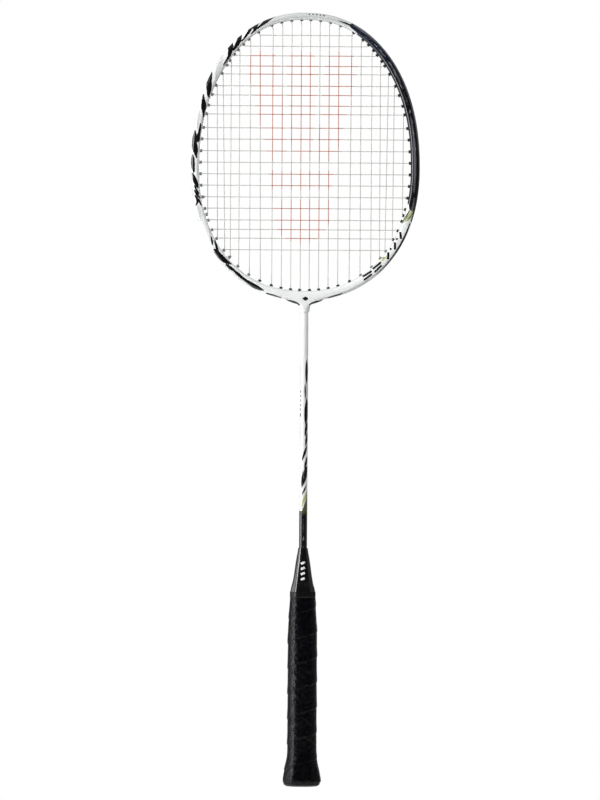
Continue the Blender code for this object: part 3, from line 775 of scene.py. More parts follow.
def cone_rings(sides=112):
    turn = full_turn(sides)
    heights = {*np.round(np.arange(CONE_LOW, CONE_HIGH + 0.01, CONE_STEP), 2), *CONE_EDGES}
    rings = []
    for z in sorted(heights):
        half, roundness = float(curve_through(CONE_WIDTH, z)), float(curve_through(CONE_ROUNDNESS, z))
        octagon = handle_reach(turn, half - GRIP_HALF_WIDTH, CONE_SHARPNESS)
        rings.append(ring_at(turn, octagon * (1 - roundness) + half * roundness, z))
    rings += [ring_at(turn, radius, z) for z, radius in CONE_INSIDE]
    rings.append(ring_at(turn, handle_reach(turn, CONE_SOCKET - GRIP_HALF_WIDTH, CONE_SHARPNESS), CONE_LOW))
    return np.array(rings)


def grip_outset(z):
    """How far the grip stands out over the octagon: flared at the butt, thinner at the top."""
    flare = FLARE * (1 - smooth(*FLARE_REACH, z)) - BUTT_TUCK * (1 - smooth(*TUCK_REACH, z))
    rise = np.clip(np.asarray(z, float) - THINNING_START, 0, None) / THINNING_LENGTH
    return flare - GRIP_INSET - TOP_THINNING * rise ** 1.2


def grip_wrinkle(turn, z):
    """Soft unevenness of the wrapped band, with creases where it is stretched over the flare."""
    across, along = math.cos(turn), math.sin(turn)
    uneven, small, crease = (
        size * noise.noise(Vector((across * scale, along * scale, z / length)))
        for size, scale, length in WRINKLES
    )
    return uneven + small + crease * float(1 - smooth(*CREASE_REACH, z))


def grip_band(per_turn=132):
    """The grip as one helical band, each turn lapping over the turn below it."""
    turns = (GRIP_HIGH - GRIP_LOW + BAND_WIDTH) / BAND_PITCH
    across, height = np.array(BAND_OUTLINE).T
    rings = []
    for k in range(1, int(turns * per_turn)):
        angle = GRIP_PHASE + 2 * math.pi * k / per_turn
        place = GRIP_LOW - BAND_WIDTH + BAND_PITCH * k / per_turn + across
        z = np.clip(place, GRIP_LOW, GRIP_HIGH)
        wrinkle = np.array([grip_wrinkle(angle, value) for value in z])
        lift = np.where(z > place, np.minimum(height, -0.05), height)
        sharpness = GRIP_SHARPNESS + BUTT_SHARPENING * (1 - smooth(*SHARPENED_REACH, z))
        reach = handle_reach(angle, grip_outset(z) + lift + wrinkle, sharpness)
        rings.append(ring_at(angle, reach, z))
    return np.array(rings)


def tape_rings(sides=144):
    """The vinyl tape round the top of the grip, with its end lapped over its start."""
    turn = full_turn(sides)
    lap = np.where((turn > TAPE_LAP_TURN[0]) & (turn < TAPE_LAP_TURN[1]), TAPE_LAP, 0)
    inner = TAPE_OUTLINE[0][1]
    rings = []
    for z, outset in TAPE_OUTLINE:
        reach = handle_reach(turn, outset + lap * (outset > inner), HANDLE_SHARPNESS)
        rings.append(ring_at(turn, reach, z))
    return np.array(rings)


def cap_rings(sides=112):
    """The butt cap: a rounded octagon plate with a ring groove under it and a spigot above."""
    turn = full_turn(sides)
    rings = [ring_at(turn, radius, z) for z, radius in CAP_SPIGOT]
    rings += [ring_at(turn, handle_reach(turn, outset, HANDLE_SHARPNESS), z) for z, outset in CAP_OUTLINE]
    return np.array(rings + [ring_at(turn, radius, z) for z, radius in CAP_DISH])


# ---------------------------------------------------------------- painted designs

# Painted strokes on the hoop, each a row of (arc, out, half width) places. Arc runs round the hoop
# from the throat, negative up the left side, and out runs from the string bed outwards.
LEFT_BLACK = (
    ((-324.5, 4.4, 0.2), (-321, 4.2, 1.1), (-317, 3.5, 1.6), (-313, 2.1, 1.5), (-309, 0.9, 0.9),
     (-305, 0.1, 0.7), (-301, -0.5, 0.9), (-296.5, -1.7, 0.2)),
    ((-309.5, 4.6, 0.5), (-306.5, 4.1, 1.4), (-302.5, 3.7, 1.3), (-299.5, 3, 1.2), (-296.5, 1.4, 1),
     (-293, 0.1, 0.9), (-289.5, -1, 0.7), (-286.5, -1.6, 0.2)),
    ((-307, 3.6, 0.7), (-303.5, 1.9, 1), (-301.5, 0.2, 0.9)),
    ((-290.5, 4.6, 0.5), (-288, 2.9, 1.5), (-285.5, 0.9, 1.8), (-282.5, -0.3, 1.8), (-279, -1.2, 1.2),
     (-275.5, -1.9, 0.3)),
    ((-280.5, 4.2, 0.5), (-278, 3.1, 1.8), (-275.5, 1.4, 2.2), (-273, -0.4, 1.8), (-270, -1.9, 1.3),
     (-266.5, -2.4, 0.7), (-263, -2.5, 0.5), (-259.5, -2.6, 0.2)),
    ((-250, 3, 0.3), (-246.5, 2.3, 1), (-243, 1.7, 1.6), (-239.5, 0.8, 2.3), (-236, -0.5, 2.2),
     (-233, -1.5, 1.5), (-230, -2.3, 0.9), (-228.5, -3.4, 0.4)),
    ((-230, 2.4, 0.3), (-226.5, 1.4, 1), (-222.5, -0.3, 1.9), (-219.5, -1.2, 2.2), (-216.5, -1.9, 1.5),
     (-213.5, -2.6, 0.7), (-210, -3.4, 0.3)),
    ((-204.5, -1.9, 0.3), (-200.5, -2.1, 0.8), (-196.5, -2, 0.9), (-193, -1.9, 1), (-190, -1.9, 1.2),
     (-187.5, -1.7, 0.3)),
    ((-198, 2.1, 0.3), (-194.5, 1.5, 1.2), (-190.5, 1.6, 1.6), (-187.5, 1.3, 1.8), (-184.5, 0.8, 2.2),
     (-182, 0.2, 2.4), (-179.5, -0.4, 1.9), (-177, -0.8, 1), (-173.5, -1.7, 0.2)),
    ((-177, 2.2, 0.3), (-173, 1.7, 1.3), (-169, 1.6, 1.5), (-165.5, 1.4, 1.3), (-163, 1, 0.9),
     (-161, 0.8, 0.2)),
    ((-161, 2.3, 0.3), (-158, 1.1, 1), (-154.5, 0.2, 1.6), (-152, -0.7, 1.6), (-149.5, -1.6, 1.1),
     (-147, -2.1, 0.2)),
    ((-150, 1, 0.3), (-146, -0.5, 0.6), (-142, -2.4, 0.5)),
    ((-146, 1.4, 0.3), (-142.5, -0.1, 0.6), (-140.5, -1.4, 0.6), (-138, -3, 0.3)),
    ((-141.5, 1.4, 0.3), (-139, 0.1, 0.8), (-136.5, -0.3, 0.9), (-134.5, 0.6, 0.6), (-132.5, 2.2, 0.3)),
    ((-138, -1.2, 0.4), (-136, -1.6, 0.6), (-133.5, -2.1, 0.5), (-131.5, -2.8, 0.2)),
    ((-102.5, -1.8, 0.4), (-98, -0.4, 0.7), (-95.5, 0.6, 0.2)),
    ((-98.5, -3, 0.3), (-94.5, -2.1, 0.7), (-90.5, -1, 0.9), (-87.5, 0.2, 0.9)),
    ((-92.5, 1.6, 0.3), (-87.5, 0.8, 1.8), (-82.5, 0.4, 2.2), (-78.5, -0.2, 1.9), (-75.5, -1.2, 1.2),
     (-72, -2.4, 0.2)),
    ((-75.5, 1.2, 0.4), (-70.5, 0.6, 1.3), (-66, -0.2, 0.7)),
    ((-67, 0.2, 0.5), (-62, 0.2, 1.3), (-57, 0.6, 1), (-52, 0.8, 1.1), (-48.5, 1, 1.4), (-45, 1.2, 1.7),
     (-41, 1.3, 1.5), (-38, 1.4, 0.8), (-35.5, 1.4, 0.2)),
    ((-33, 2.8, 0.3), (-29, 3.4, 1.1), (-25.5, 3.6, 1.3), (-22.5, 3.5, 0.8), (-19.5, 3.4, 0.2)),
)
# Grey strokes on the left: partly grey in the paint, and partly painted shade along the outer edge and the
# groove's lip.
LEFT_GREY_AND_SHADE = (
    ((-267, 3.2, 0.8), (-262, 1.6, 1.8), (-256, 0.8, 2), (-251, -0.6, 1.2), (-246, -2.4, 0.4)),
    ((-216, 2.2, 0.4), (-213, 1.7, 1.2), (-210, 1.3, 1.6), (-206, 1.5, 1.2), (-203, 0.9, 1.3),
     (-198.5, 0.3, 0.3)),
    ((-212, -1.8, 0.6), (-205, -2.6, 0.9), (-198, -2.6, 0.6)),
    ((-173, -2.2, 0.3), (-166, -1.9, 0.4), (-158, -2.4, 0.4)),
    ((-160.5, 3.6, 0.6), (-155, 3, 0.9), (-150.5, 2.6, 0.5)),
    ((-149, 3.2, 0.7), (-142, 3, 0.9), (-134, 2.9, 0.5)),
    ((-133, 0.8, 0.5), (-128, 0.9, 1.8), (-123.5, 1.5, 1.9), (-118, 3, 1.2)),
    ((-110.5, -3.5, 0.5), (-105, -1.6, 0.7), (-101, 0, 0.6)),
    ((-91.5, 3.3, 0.4), (-84.5, 3, 0.8), (-75, 2.7, 0.6), (-66.5, 2.3, 0.7), (-57, 2.9, 0.6),
     (-44, 3.2, 0.4)),
    ((-73, -2.9, 0.3), (-66.5, -3.3, 0.4), (-60, -2.8, 0.4), (-54, -2.8, 0.3)),
    ((-21, 2.2, 0.3), (-14, 3.4, 0.5), (-8, 4.2, 0.3)),
)
RIGHT_BLACK_REGION = (
    (311, 1), (305, 8), (121.5, 8), (119, 3.4), (120.5, 2.4), (125, 2.6), (128, 1.6), (129.5, -1.2),
    (133.5, -3), (140, -8), (303, -8), (300, -3), (307, -1.2),
)
RIGHT_BLACK_AND_EDGE_SHADE = (
    ((321, 1, 0.2), (313, 1.2, 0.8), (300, 1.4, 0.4)),
    # Painted shade: this stroke is a dark line along the lower right outer edge, on its shadow side.
    ((118, 2.6, 0.4), (107, 2.9, 0.9), (99, 3, 1), (90, 3, 0.9), (80, 3.1, 0.7), (66, 3.2, 0.3)),
    ((32.5, 2.9, 0.3), (28.5, 3.4, 1.1), (25, 3.6, 1.2), (22, 3.5, 0.8), (19.5, 3.4, 0.2)),
)
# Painted shade: grey along the lower right outer edge, where the rounded edge turns from the light, fading
# towards the throat.
RIGHT_EDGE_SHADE = (
    ((90, 2.5, 0.7), (76, 2.3, 0.9), (62, 2.4, 0.9), (48, 2.3, 0.9), (30, 2.5, 0.8), (12, 3.5, 0.3)),
    ((44, 3.4, 0.4), (34, 3.4, 0.7), (20, 4, 0.4)),
)
RIGHT_LIME = (
    ((129, 2, 0.4), (126, 0.8, 1.1), (122.5, -0.5, 1.3), (119, -2, 0.8), (116.5, -3, 0.2)),
    ((84, -1.6, 0.3), (80, -2, 0.9), (75.5, -2.6, 0.4)),
)
RIGHT_OLIVE = (
    ((132, 0.4, 0.3), (126.5, -1.5, 0.7), (122, -2.5, 1), (118, -3.3, 0.6), (115.5, -4, 0.2)),
    ((126.5, 2.3, 0.3), (122.5, 1, 0.6), (118.5, -0.6, 0.3)),
)
# Painted reflections on the black right rim: a lighter band along its outer edge and lighter lines along its
# middle.
RIGHT_PAINTED_REFLECTIONS = (
    ((307, 3.2, 0.8), (298, 3.2, 1.6), (286, 3.5, 1.3), (270, 3.6, 1), (240, 3.6, 1.1), (210, 3.6, 1.1),
     (185, 3.6, 0.9), (165, 4, 0.4)),
    ((262, 0.2, 0.3), (252, 0, 0.4), (244, 0.4, 0.3)),
    ((212, -0.3, 0.2), (200, -0.4, 0.6), (180, -0.5, 0.8), (160, -0.5, 0.7), (145, -0.2, 0.4)),
    ((140, 1, 0.3), (130, 1.2, 0.7), (124, 1.3, 0.3)),
)
PALE_BAND = (
    ((126, 1.8, 1), (118, 0.4, 1.8), (109, -2.2, 1.2)),
)
# On the throat, in place across and height: the shapes under the hoop on both sides of the neck.
THROAT_BLACK = (
    ((17.6, 424.6, 0.3), (13.5, 423.2, 0.9), (9.5, 421.9, 1.4), (6, 420.6, 1.2), (3.8, 419.4, 0.3)),
)
THROAT_MARK = ((-2.4, 425.2), (0.8, 427.1), (4, 425.2), (0.8, 423.3))
SILVER_REACH, NAVY_REACH = (292, 322), (225, 305)
LEFT_SHIFT, LEFT_EXTRA = 0.3, 0.25
# Rows of small marks: the first start, an end and the step between them.
CROWN_DOTS, LEFT_LIP_SHADE_DASHES, SHAFT_DASHES = (-16, 12, 3.1), (-92, -40, 5.2), (327.5, 346, 3.9)
CONE_BARS = (194, 180, -4.6)

# On the shaft: blades as start, end, half width and where they are widest, in (across, height).
SHAFT_BLACK = (
    ((2.2, 373), (2.1, 350), 1.2, 0.5), ((0.9, 352), (1.4, 337), 0.6, 0.5),
    ((2.6, 339), (1.5, 314), 1.8, 0.5), ((2.9, 318), (1.1, 304.5), 1.2, 0.5),
    ((3.1, 308.5), (1.7, 296), 1.1, 0.5), ((3.2, 298), (-1.5, 283), 1.1, 0.5),
    ((3.3, 288), (0.8, 276), 1.1, 0.5), ((3.4, 280), (-2.2, 261.5), 2.1, 0.45),
    ((3.3, 272.5), (-2.1, 259.5), 1, 0.5), ((3, 263), (-1.5, 253.5), 0.75, 0.5),
    ((-2.8, 326), (-2.7, 321.5), 0.55, 0.5), ((3.3, 258), (3.3, 250), 0.5, 0.5),
)
SHAFT_GREY = (
    ((-2.7, 374), (-2.6, 346), 0.65, 0.6), ((-2.6, 319), (-2.6, 299), 0.65, 0.5),
    ((-2.2, 281), (-1.8, 268), 1.2, 0.5), ((1.7, 354), (1.7, 334), 2.1, 0.5),
)
SHAFT_LIME = ((3.4, 257.5), (-2.8, 240.5), 1, 0.4)
SHAFT_OLIVE = ((3, 254.5), (6, 256), (6, 236), (-1.8, 238.5), (0.2, 244), (2.2, 249.5))
SHAFT_PALE = ((-6, 258), (2, 258), (2, 238), (-6, 240))
SHAFT_BLACK_REGION = ((-8, 240.5), (-3, 240.2), (1, 239.5), (8, 242), (8, 60), (-8, 60))

# The stencil on the strings: a generic shuttlecock, its cork towards the throat.
STENCIL_CENTRE = (-3, 556)
CORK_RADIUS, CORK_TOP, CORK_MIDDLE = 25, -44, -58
SKIRT_FOOT, SKIRT_HEAD, SKIRT_LOW, SKIRT_HIGH = 26, 51, -36, 86
SKIRT_BAND, RIB_GAP, FEATHER_GAP, FEATHER_ROUND = 17, 2.2, 8, 14

PAINTS = ("black", "grey", "lime", "olive", "haze", "pale")


def row_of(starts, step, half_width):
    """Equal straight marks, one at each start."""
    return [bar(start, np.add(start, step), half_width) for start in starts]


def right_marks():
    """Generic slanted bars, single and in pairs, where the real frame carries lettering."""
    single, paired = (108, 97.5, 87), (76, 64.5)
    marks = row_of([(arc, -2.6) for arc in single], (-5.4, 3.5), 1.05)
    marks += row_of([(arc - 6.2, -2.9) for arc in single], (-1.8, 1), 0.9)
    marks += row_of([(arc, -2) for arc in paired], (-9.8, -0.7), 0.9)
    return marks + row_of([(arc - 1.5, 0.2) for arc in paired], (-8.9, 0.2), 0.85)


def throat_field(points):
    """Black under the hoop on both sides of the neck, and a plain diamond over it in front."""
    field = polygon_field(np.abs(points[:, [0, 2]]), [brush(stroke) for stroke in THROAT_BLACK])
    mark = polygon_field(points[:, [0, 2]], [THROAT_MARK])
    return np.maximum(field, np.where(points[:, 1] < -1, mark, FAR_OUTSIDE))


def paint_fields(arc, out, shapes, silver=0, navy=0):
    """The fields that the lacquer reads, with shapes for some of the paints."""
    across = np.stack([arc, out], axis=-1)
    fields = {paint: polygon_field(across, shapes.get(paint, ())) for paint in PAINTS}
    level = np.zeros(len(arc))
    fields.update(arc=arc, out=out, silver=level + silver, navy=level + navy)
    return fields


def hoop_paint(places, points):
    """Paint fields of the hoop in the plane of (arc, out), the same on front and back."""
    arc, out = np.array(places).T
    out = out + swell(arc) * smooth(-1, GROOVE_FLOOR, out)
    arc = signed_arc(arc)
    crown = HOOP_LENGTH / 2 + np.arange(*CROWN_DOTS)
    strokes = {
        "grey": LEFT_GREY_AND_SHADE + RIGHT_EDGE_SHADE, "lime": RIGHT_LIME, "olive": RIGHT_OLIVE, "haze": RIGHT_PAINTED_REFLECTIONS,
        "pale": PALE_BAND, "black": RIGHT_BLACK_AND_EDGE_SHADE,
    }
    shapes = {paint: [brush(stroke) for stroke in rows] for paint, rows in strokes.items()}
    shapes["black"] += [brush(stroke, LEFT_SHIFT, LEFT_EXTRA) for stroke in LEFT_BLACK]
    shapes["black"] += [RIGHT_BLACK_REGION, *right_marks()]
    shapes["black"] += row_of([(start, 2.3) for start in crown], (1.5, 0), 0.5)
    # Painted shade: broken grey dashes along the left groove's lip.
    shapes["grey"] += row_of([(start, 3.3) for start in np.arange(*LEFT_LIP_SHADE_DASHES)], (2.6, 0.05), 0.35)
    fields = paint_fields(arc, out, shapes, smooth(*SILVER_REACH, np.abs(arc)), smooth(*NAVY_REACH, arc))
    fields["black"] = np.maximum(fields["black"], throat_field(points))
    return fields


def shaft_paint(points):
    """Paint fields of the shaft, whose shapes are in (across, height)."""
    across, _, height = np.array(points, float).T
    dashes = row_of([(-2.65, z) for z in np.arange(*SHAFT_DASHES)], (0, 2.2), 0.42)
    shapes = {
        "black": [sliver(*blade) for blade in SHAFT_BLACK] + dashes + [SHAFT_BLACK_REGION],
        "grey": [sliver(*blade) for blade in SHAFT_GREY],
        "lime": [sliver(*SHAFT_LIME)], "olive": [SHAFT_OLIVE], "pale": [SHAFT_PALE],
    }
    fields = paint_fields(across, height, shapes)
    fields.update(arc=height, out=across)
    return fields


def neck_paint(points):
    fields = paint_fields(points[:, 2], points[:, 0], {})
    fields["black"] = throat_field(points)
    return fields


def stencil_shapes():
    """Three broad feathers that fan out from a band, over a round cork."""
    width = SKIRT_FOOT + (SKIRT_HEAD - SKIRT_FOOT) * 0.14
    band, shoulder = SKIRT_LOW + SKIRT_BAND, SKIRT_HIGH - FEATHER_ROUND
    low, foot = band + FEATHER_GAP, width + 2
    shapes = [[(-SKIRT_FOOT, SKIRT_LOW), (SKIRT_FOOT, SKIRT_LOW), (width, band), (-width, band)]]
    for left, right in ((-1, -1 / 3), (-1 / 3, 1 / 3), (1 / 3, 1)):
        outline = [(left * foot + RIB_GAP, low), (right * foot - RIB_GAP, low)]
        start, end = right * SKIRT_HEAD - RIB_GAP, left * SKIRT_HEAD + RIB_GAP
        for angle in np.linspace(0, math.pi, 9):
            share = (1 - math.cos(angle)) / 2
            outline.append((start * (1 - share) + end * share, shoulder + FEATHER_ROUND * math.sin(angle)))
        shapes.append(outline)
    cork = [(-CORK_RADIUS, CORK_TOP), (CORK_RADIUS, CORK_TOP)]
    for angle in np.linspace(0, math.pi, 14):
        cork.append((CORK_RADIUS * math.cos(angle), CORK_MIDDLE - CORK_RADIUS * math.sin(angle)))
    return [np.add(shape, STENCIL_CENTRE) for shape in shapes + [cork]]


def string_paint(points):
    return {"stencil": polygon_field(np.array(points)[:, [0, 2]], stencil_shapes())}


def cone_paint(points):
    """A generic stack of slanted bars along the front of the cone."""
    points = np.array(points)
    marks = row_of([(-1.7, z) for z in np.arange(*CONE_BARS)], (3.4, 1.5), 0.95)
    return {"mark": np.where(points[:, 1] < 0, polygon_field(points[:, [0, 2]], marks), FAR_OUTSIDE)}


# ---------------------------------------------------------------- materials


class Nodes:
    """A node tree and short ways of adding nodes to it."""

    def __init__(self, tree):
        self.tree = tree

    def node(self, kind, inputs=(), **settings):
        made = self.tree.nodes.new("ShaderNode" + kind)
        for key, value in settings.items():
            setattr(made, key, value)
        for key, value in dict(inputs).items():
            self.feed(made.inputs[key], value)
        return made

    def feed(self, socket, value):
        if isinstance(value, bpy.types.NodeSocket):
            self.tree.links.new(value, socket)
        elif isinstance(value, tuple) and socket.type == "RGBA":
            socket.default_value = (*value, 1)
        else:
            socket.default_value = value

    def maths(self, operation, a, b=0):
        return self.node("Math", {0: a, 1: b}, operation=operation).outputs[0]

    def remap(self, value, low, high, to_low=0, to_high=1, **settings):
        inputs = {"Value": value, "From Min": low, "From Max": high, "To Min": to_low, "To Max": to_high}
        return self.node("MapRange", inputs, **settings).outputs["Result"]


class Finish(Nodes):
    """A Principled material and its usual nodes."""

    def __init__(self, name, **sockets):
        self.material = bpy.data.materials.new(name)
        self.material.use_nodes = True
        super().__init__(self.material.node_tree)
        self.shader = self.tree.nodes["Principled BSDF"]
        names = {socket.name.lower().replace(" ", "_"): socket for socket in self.shader.inputs}
        for key, value in sockets.items():
            names[key].default_value = value

    def done(self, colour, roughness=None, normal=None, metallic=None):
        """The finished material, with nodes for what varies over the surface."""
        ends = {"Base Color": colour, "Roughness": roughness, "Normal": normal, "Metallic": metallic}
        for name, value in ends.items():
            if value is not None:
                self.tree.links.new(value, self.shader.inputs[name])
        return self.material

    def attribute(self, name):
        return self.node("Attribute", attribute_name=name).outputs["Fac"]

    def place(self, stretch=(1, 1, 1)):
        """Object coordinates in millimetres, stretched."""
        coordinates = self.node("TexCoord").outputs["Object"]
        scale = tuple(1000 * s for s in stretch)
        return self.node("Mapping", {"Vector": coordinates, "Scale": scale}).outputs["Vector"]

    def noise(self, scale, vector=None, detail=3, roughness=0.5):
        inputs = {"Scale": scale, "Detail": detail, "Roughness": roughness}
        inputs["Vector"] = self.place() if vector is None else vector
        return self.node("TexNoise", inputs).outputs["Fac"]

    def mix(self, share, a, b):
        return self.node("Mix", {0: share, 6: a, 7: b}, data_type="RGBA").outputs[2]

    def blend(self, value, a, b, low=0.3, high=0.7):
        """From colour a to colour b as a noise goes from low to high."""
        return self.mix(self.remap(value, low, high), a, b)

    def bump(self, height, distance, strength=1, normal=None):
        inputs = {"Height": height, "Distance": distance * MM, "Strength": strength}
        if normal is not None:
            inputs["Normal"] = normal
        return self.node("Bump", inputs).outputs["Normal"]


WHITE_PAINT = ((0.83, 0.845, 0.84), (0.78, 0.80, 0.795))
SILVER_PAINT = ((0.78, 0.81, 0.80), (0.63, 0.66, 0.65))
BLACK_PAINT = ((0.0025, 0.0026, 0.0036), (0.0055, 0.0058, 0.0080))
NAVY_PAINT, FLECK_PAINT = (0.007, 0.011, 0.024), (0.34, 0.355, 0.38)
# Paint, colour, softness of its edge and cover: under the black, and over it.
# The grey is partly grey paint and partly painted shade along the hoop's edges.
UNDER_BLACK = (("grey", (0.50, 0.515, 0.51), 0.35, 0.75), ("pale", (0.70, 0.76, 0.72), 0.8, 0.8))
OVER_BLACK = (
    # Painted reflection: a lighter blue-grey laid over the black along the right rim.
    ("haze", (0.15, 0.155, 0.18), 0.6, 0.85),
    ("lime", (0.40, 0.45, 0.13), 0.45, 0.9),
    ("olive", (0.05, 0.06, 0.012), 0.4, 0.95),
)


def lacquer(name):
    """Gloss paint in layers under clear lacquer, each layer with its own outline field."""
    paint = Finish(name, roughness=0.3, coat_weight=0.6, coat_roughness=0.035, coat_ior=1.5)
    clouds, flakes = paint.noise(0.12, detail=4), paint.noise(3.2, detail=2)
    arc, out, silver = (paint.attribute(name) for name in ("arc", "out", "silver"))
    along = paint.node("CombineXYZ", {"X": arc, "Y": out}).outputs[0]
    ragged = paint.remap(paint.noise(0.9, along), 0, 1, -0.12, 0.12)

    def cover(field, soft=0.1, strength=1):
        edge = paint.maths("ADD", paint.attribute(field), ragged)
        return paint.remap(edge, -soft, soft, 0, strength)

    white = paint.blend(clouds, *WHITE_PAINT, 0.35, 0.65)
    colour = paint.mix(silver, white, paint.blend(flakes, *SILVER_PAINT, 0.42, 0.62))
    for field, tone, soft, strength in UNDER_BLACK:
        colour = paint.mix(cover(field, soft, strength), colour, tone)
    black = paint.mix(paint.attribute("navy"), paint.blend(flakes, *BLACK_PAINT, 0.4, 0.65), NAVY_PAINT)
    dark = cover("black")
    colour = paint.mix(dark, colour, black)
    stretched = paint.node("Mapping", {"Vector": along, "Scale": (0.22, 1.3, 1)}).outputs["Vector"]
    flecks = paint.remap(paint.noise(1, stretched, detail=5, roughness=0.65), 0.53, 0.63)
    for limit in (
        paint.remap(paint.maths("ABSOLUTE", out), 0.35, 0.95, 1, 0),
        paint.remap(arc, 168, 180), paint.remap(arc, 290, 306, 1, 0), dark,
    ):
        flecks = paint.maths("MULTIPLY", flecks, limit)
    colour = paint.mix(flecks, colour, FLECK_PAINT)
    for field, tone, soft, strength in OVER_BLACK:
        colour = paint.mix(cover(field, soft, strength), colour, tone)
    metal = paint.maths("MULTIPLY", silver, paint.remap(dark, 0, 1, 0.3, 0))
    peel = paint.bump(paint.noise(0.55, detail=2), 0.03, 0.35)
    return paint.done(colour, paint.remap(clouds, 0.3, 0.7, 0.24, 0.36), peel, metal)


def nylon(name, colour):
    """Moulded nylon: slightly waxy, with a fine even grain."""
    made = Finish(name, specular_ior_level=0.45)
    tone = made.blend(made.noise(0.5), colour, tuple(c * 1.5 + 0.004 for c in colour))
    roughness = made.remap(made.noise(2.5), 0.3, 0.7, 0.34, 0.52)
    return made.done(tone, roughness, made.bump(made.noise(6), 0.02, 0.3))


def string_material():
    """Braided nylon, off-white, with the stencil's ink worn off its high places."""
    made = Finish("string_nylon_look", coat_weight=0.25, coat_roughness=0.2, subsurface_weight=0.05)
    braid = made.node("TexWave", {
        "Vector": made.place(), "Scale": 0.9, "Distortion": 1.5, "Detail": 2,
    }, bands_direction="DIAGONAL").outputs["Fac"]
    tone = made.blend(made.noise(0.08), (0.50, 0.515, 0.48), (0.43, 0.445, 0.41))
    # Painted shade: darker in the braid's low places, which the bump below also sinks.
    tone = made.mix(made.remap(braid, 0, 0.35, 0.22, 0), tone, (0.28, 0.29, 0.27))
    wear = made.remap(made.noise(1.1, detail=4), 0.36, 0.5, 0.7, 1)
    inked = made.maths("MULTIPLY", made.remap(made.attribute("stencil"), -0.25, 0.35), wear)
    ink = made.blend(made.noise(0.3), (0.36, 0.052, 0.018), (0.50, 0.105, 0.042))
    roughness = made.remap(made.noise(1.7), 0.3, 0.7, 0.32, 0.5)
    return made.done(made.mix(inked, tone, ink), roughness, made.bump(braid, 0.03, 0.4))


def grip_material():
    """Tacky polyurethane: near black, creased and finely grained, lighter along its raised edges with
    scuffing and a painted highlight.
    """
    made = Finish("grip_polyurethane_look", specular_ior_level=0.21)
    mottle = made.noise(0.35, detail=5, roughness=0.6)
    base = made.blend(mottle, (0.0003, 0.0003, 0.0010), (0.0010, 0.0010, 0.0022))
    # Painted highlight mixed with scuffing: lighter along the raised edge of each lap.
    patchy = made.remap(made.noise(0.9, detail=4), 0.35, 0.6, 0.2, 1)
    scuff_and_glint = made.maths("MULTIPLY", made.attribute("edge"), patchy)
    colour = made.mix(scuff_and_glint, base, (0.0025, 0.0026, 0.0035))
    grain = made.node("TexVoronoi", {"Vector": made.place(), "Scale": 2.4}, feature="SMOOTH_F1")
    fine = made.bump(grain.outputs["Distance"], 0.03, 0.25)
    crumpled = made.bump(made.noise(0.26, detail=3, roughness=0.5), 1.5, 0.65, fine)
    return made.done(colour, made.remap(mottle, 0.3, 0.7, 0.24, 0.40), crumpled)


def cone_material():
    """Polished black plastic with hairline scratches and pale printed marks."""
    made = Finish("cone_plastic_look", coat_weight=0.9, coat_roughness=0.05)
    tone = made.blend(made.noise(0.25), (0.0014, 0.0014, 0.0022), (0.0032, 0.0033, 0.0042))
    ragged = made.remap(made.noise(1.6), 0, 1, -0.08, 0.08)
    edge = made.maths("ADD", made.attribute("mark"), ragged)
    tone = made.blend(edge, tone, (0.78, 0.79, 0.78), -0.1, 0.1)
    scratches = made.noise(0.9, made.place((6, 6, 0.35)), detail=6, roughness=0.7)
    return made.done(tone, made.remap(scratches, 0.35, 0.7, 0.17, 0.34), made.bump(scratches, 0.02, 0.25))


def vinyl(name):
    """Thin stretched tape with faint lengthwise lines."""
    made = Finish(name, specular_ior_level=0.3)
    lines = made.noise(1, made.place((0.15, 0.15, 3.5)), detail=5)
    tone = made.blend(lines, (0.0016, 0.0016, 0.0024), (0.0040, 0.0041, 0.0050), 0.35, 0.65)
    return made.done(tone, made.remap(lines, 0.3, 0.7, 0.28, 0.42), made.bump(lines, 0.06, 0.4))


def moulded_plastic(name, dark, light):
    """Spark-eroded moulded plastic, finely pitted."""
    made = Finish(name, specular_ior_level=0.45)
    pits = made.noise(4.5, detail=3)
    tone = made.blend(made.noise(0.2), dark, light)
    return made.done(tone, made.remap(pits, 0.3, 0.7, 0.42, 0.6), made.bump(pits, 0.05, 0.5))


def wood():
    """The handle's timber, with grain along its length."""
    made = Finish("handle_wood_look", specular_ior_level=0.35)
    grain = made.noise(0.6, made.place((1, 1, 0.05)), detail=7, roughness=0.62)
    rings = made.node("TexWave", {
        "Vector": made.place((1, 1, 0.02)), "Scale": 0.12, "Distortion": 5, "Detail": 2,
    }).outputs["Fac"]
    colour = made.blend(grain, (0.56, 0.37, 0.19), (0.70, 0.50, 0.28), 0.35, 0.65)
    colour = made.mix(made.remap(rings, 0.2, 0.9, 0, 0.4), colour, (0.42, 0.25, 0.11))
    return made.done(colour, made.remap(grain, 0.3, 0.7, 0.55, 0.75), made.bump(grain, 0.08, 0.5))


def steel():
    """Drawn wire with fine lines along it."""
    made = Finish("staple_steel_look", metallic=1)
    drawn = made.noise(1.5, made.place((0.1, 4, 4)), detail=4)
    tone = made.blend(drawn, (0.50, 0.50, 0.49), (0.62, 0.62, 0.61))
    return made.done(tone, made.remap(drawn, 0.3, 0.7, 0.22, 0.38))


# ---------------------------------------------------------------- camera and light


def add_camera():
    data = bpy.data.cameras.new("photo_camera")
    data.sensor_width = SENSOR
    data.lens = SENSOR * CAMERA_DISTANCE / (IMAGE_HEIGHT * PIXEL_SIZE)
    data.clip_start, data.clip_end = 0.5, 60
    camera = add_object("photo_camera", data)
    place = Matrix.Translation(Vector(VIEW_CENTRE) + Vector((0, -CAMERA_DISTANCE, 0)))
    upright = Matrix.Rotation(math.pi / 2, 4, "X")
    camera.matrix_world = place @ upright @ Matrix.Rotation(CAMERA_ROLL, 4, "Z")
    bpy.context.scene.camera = camera


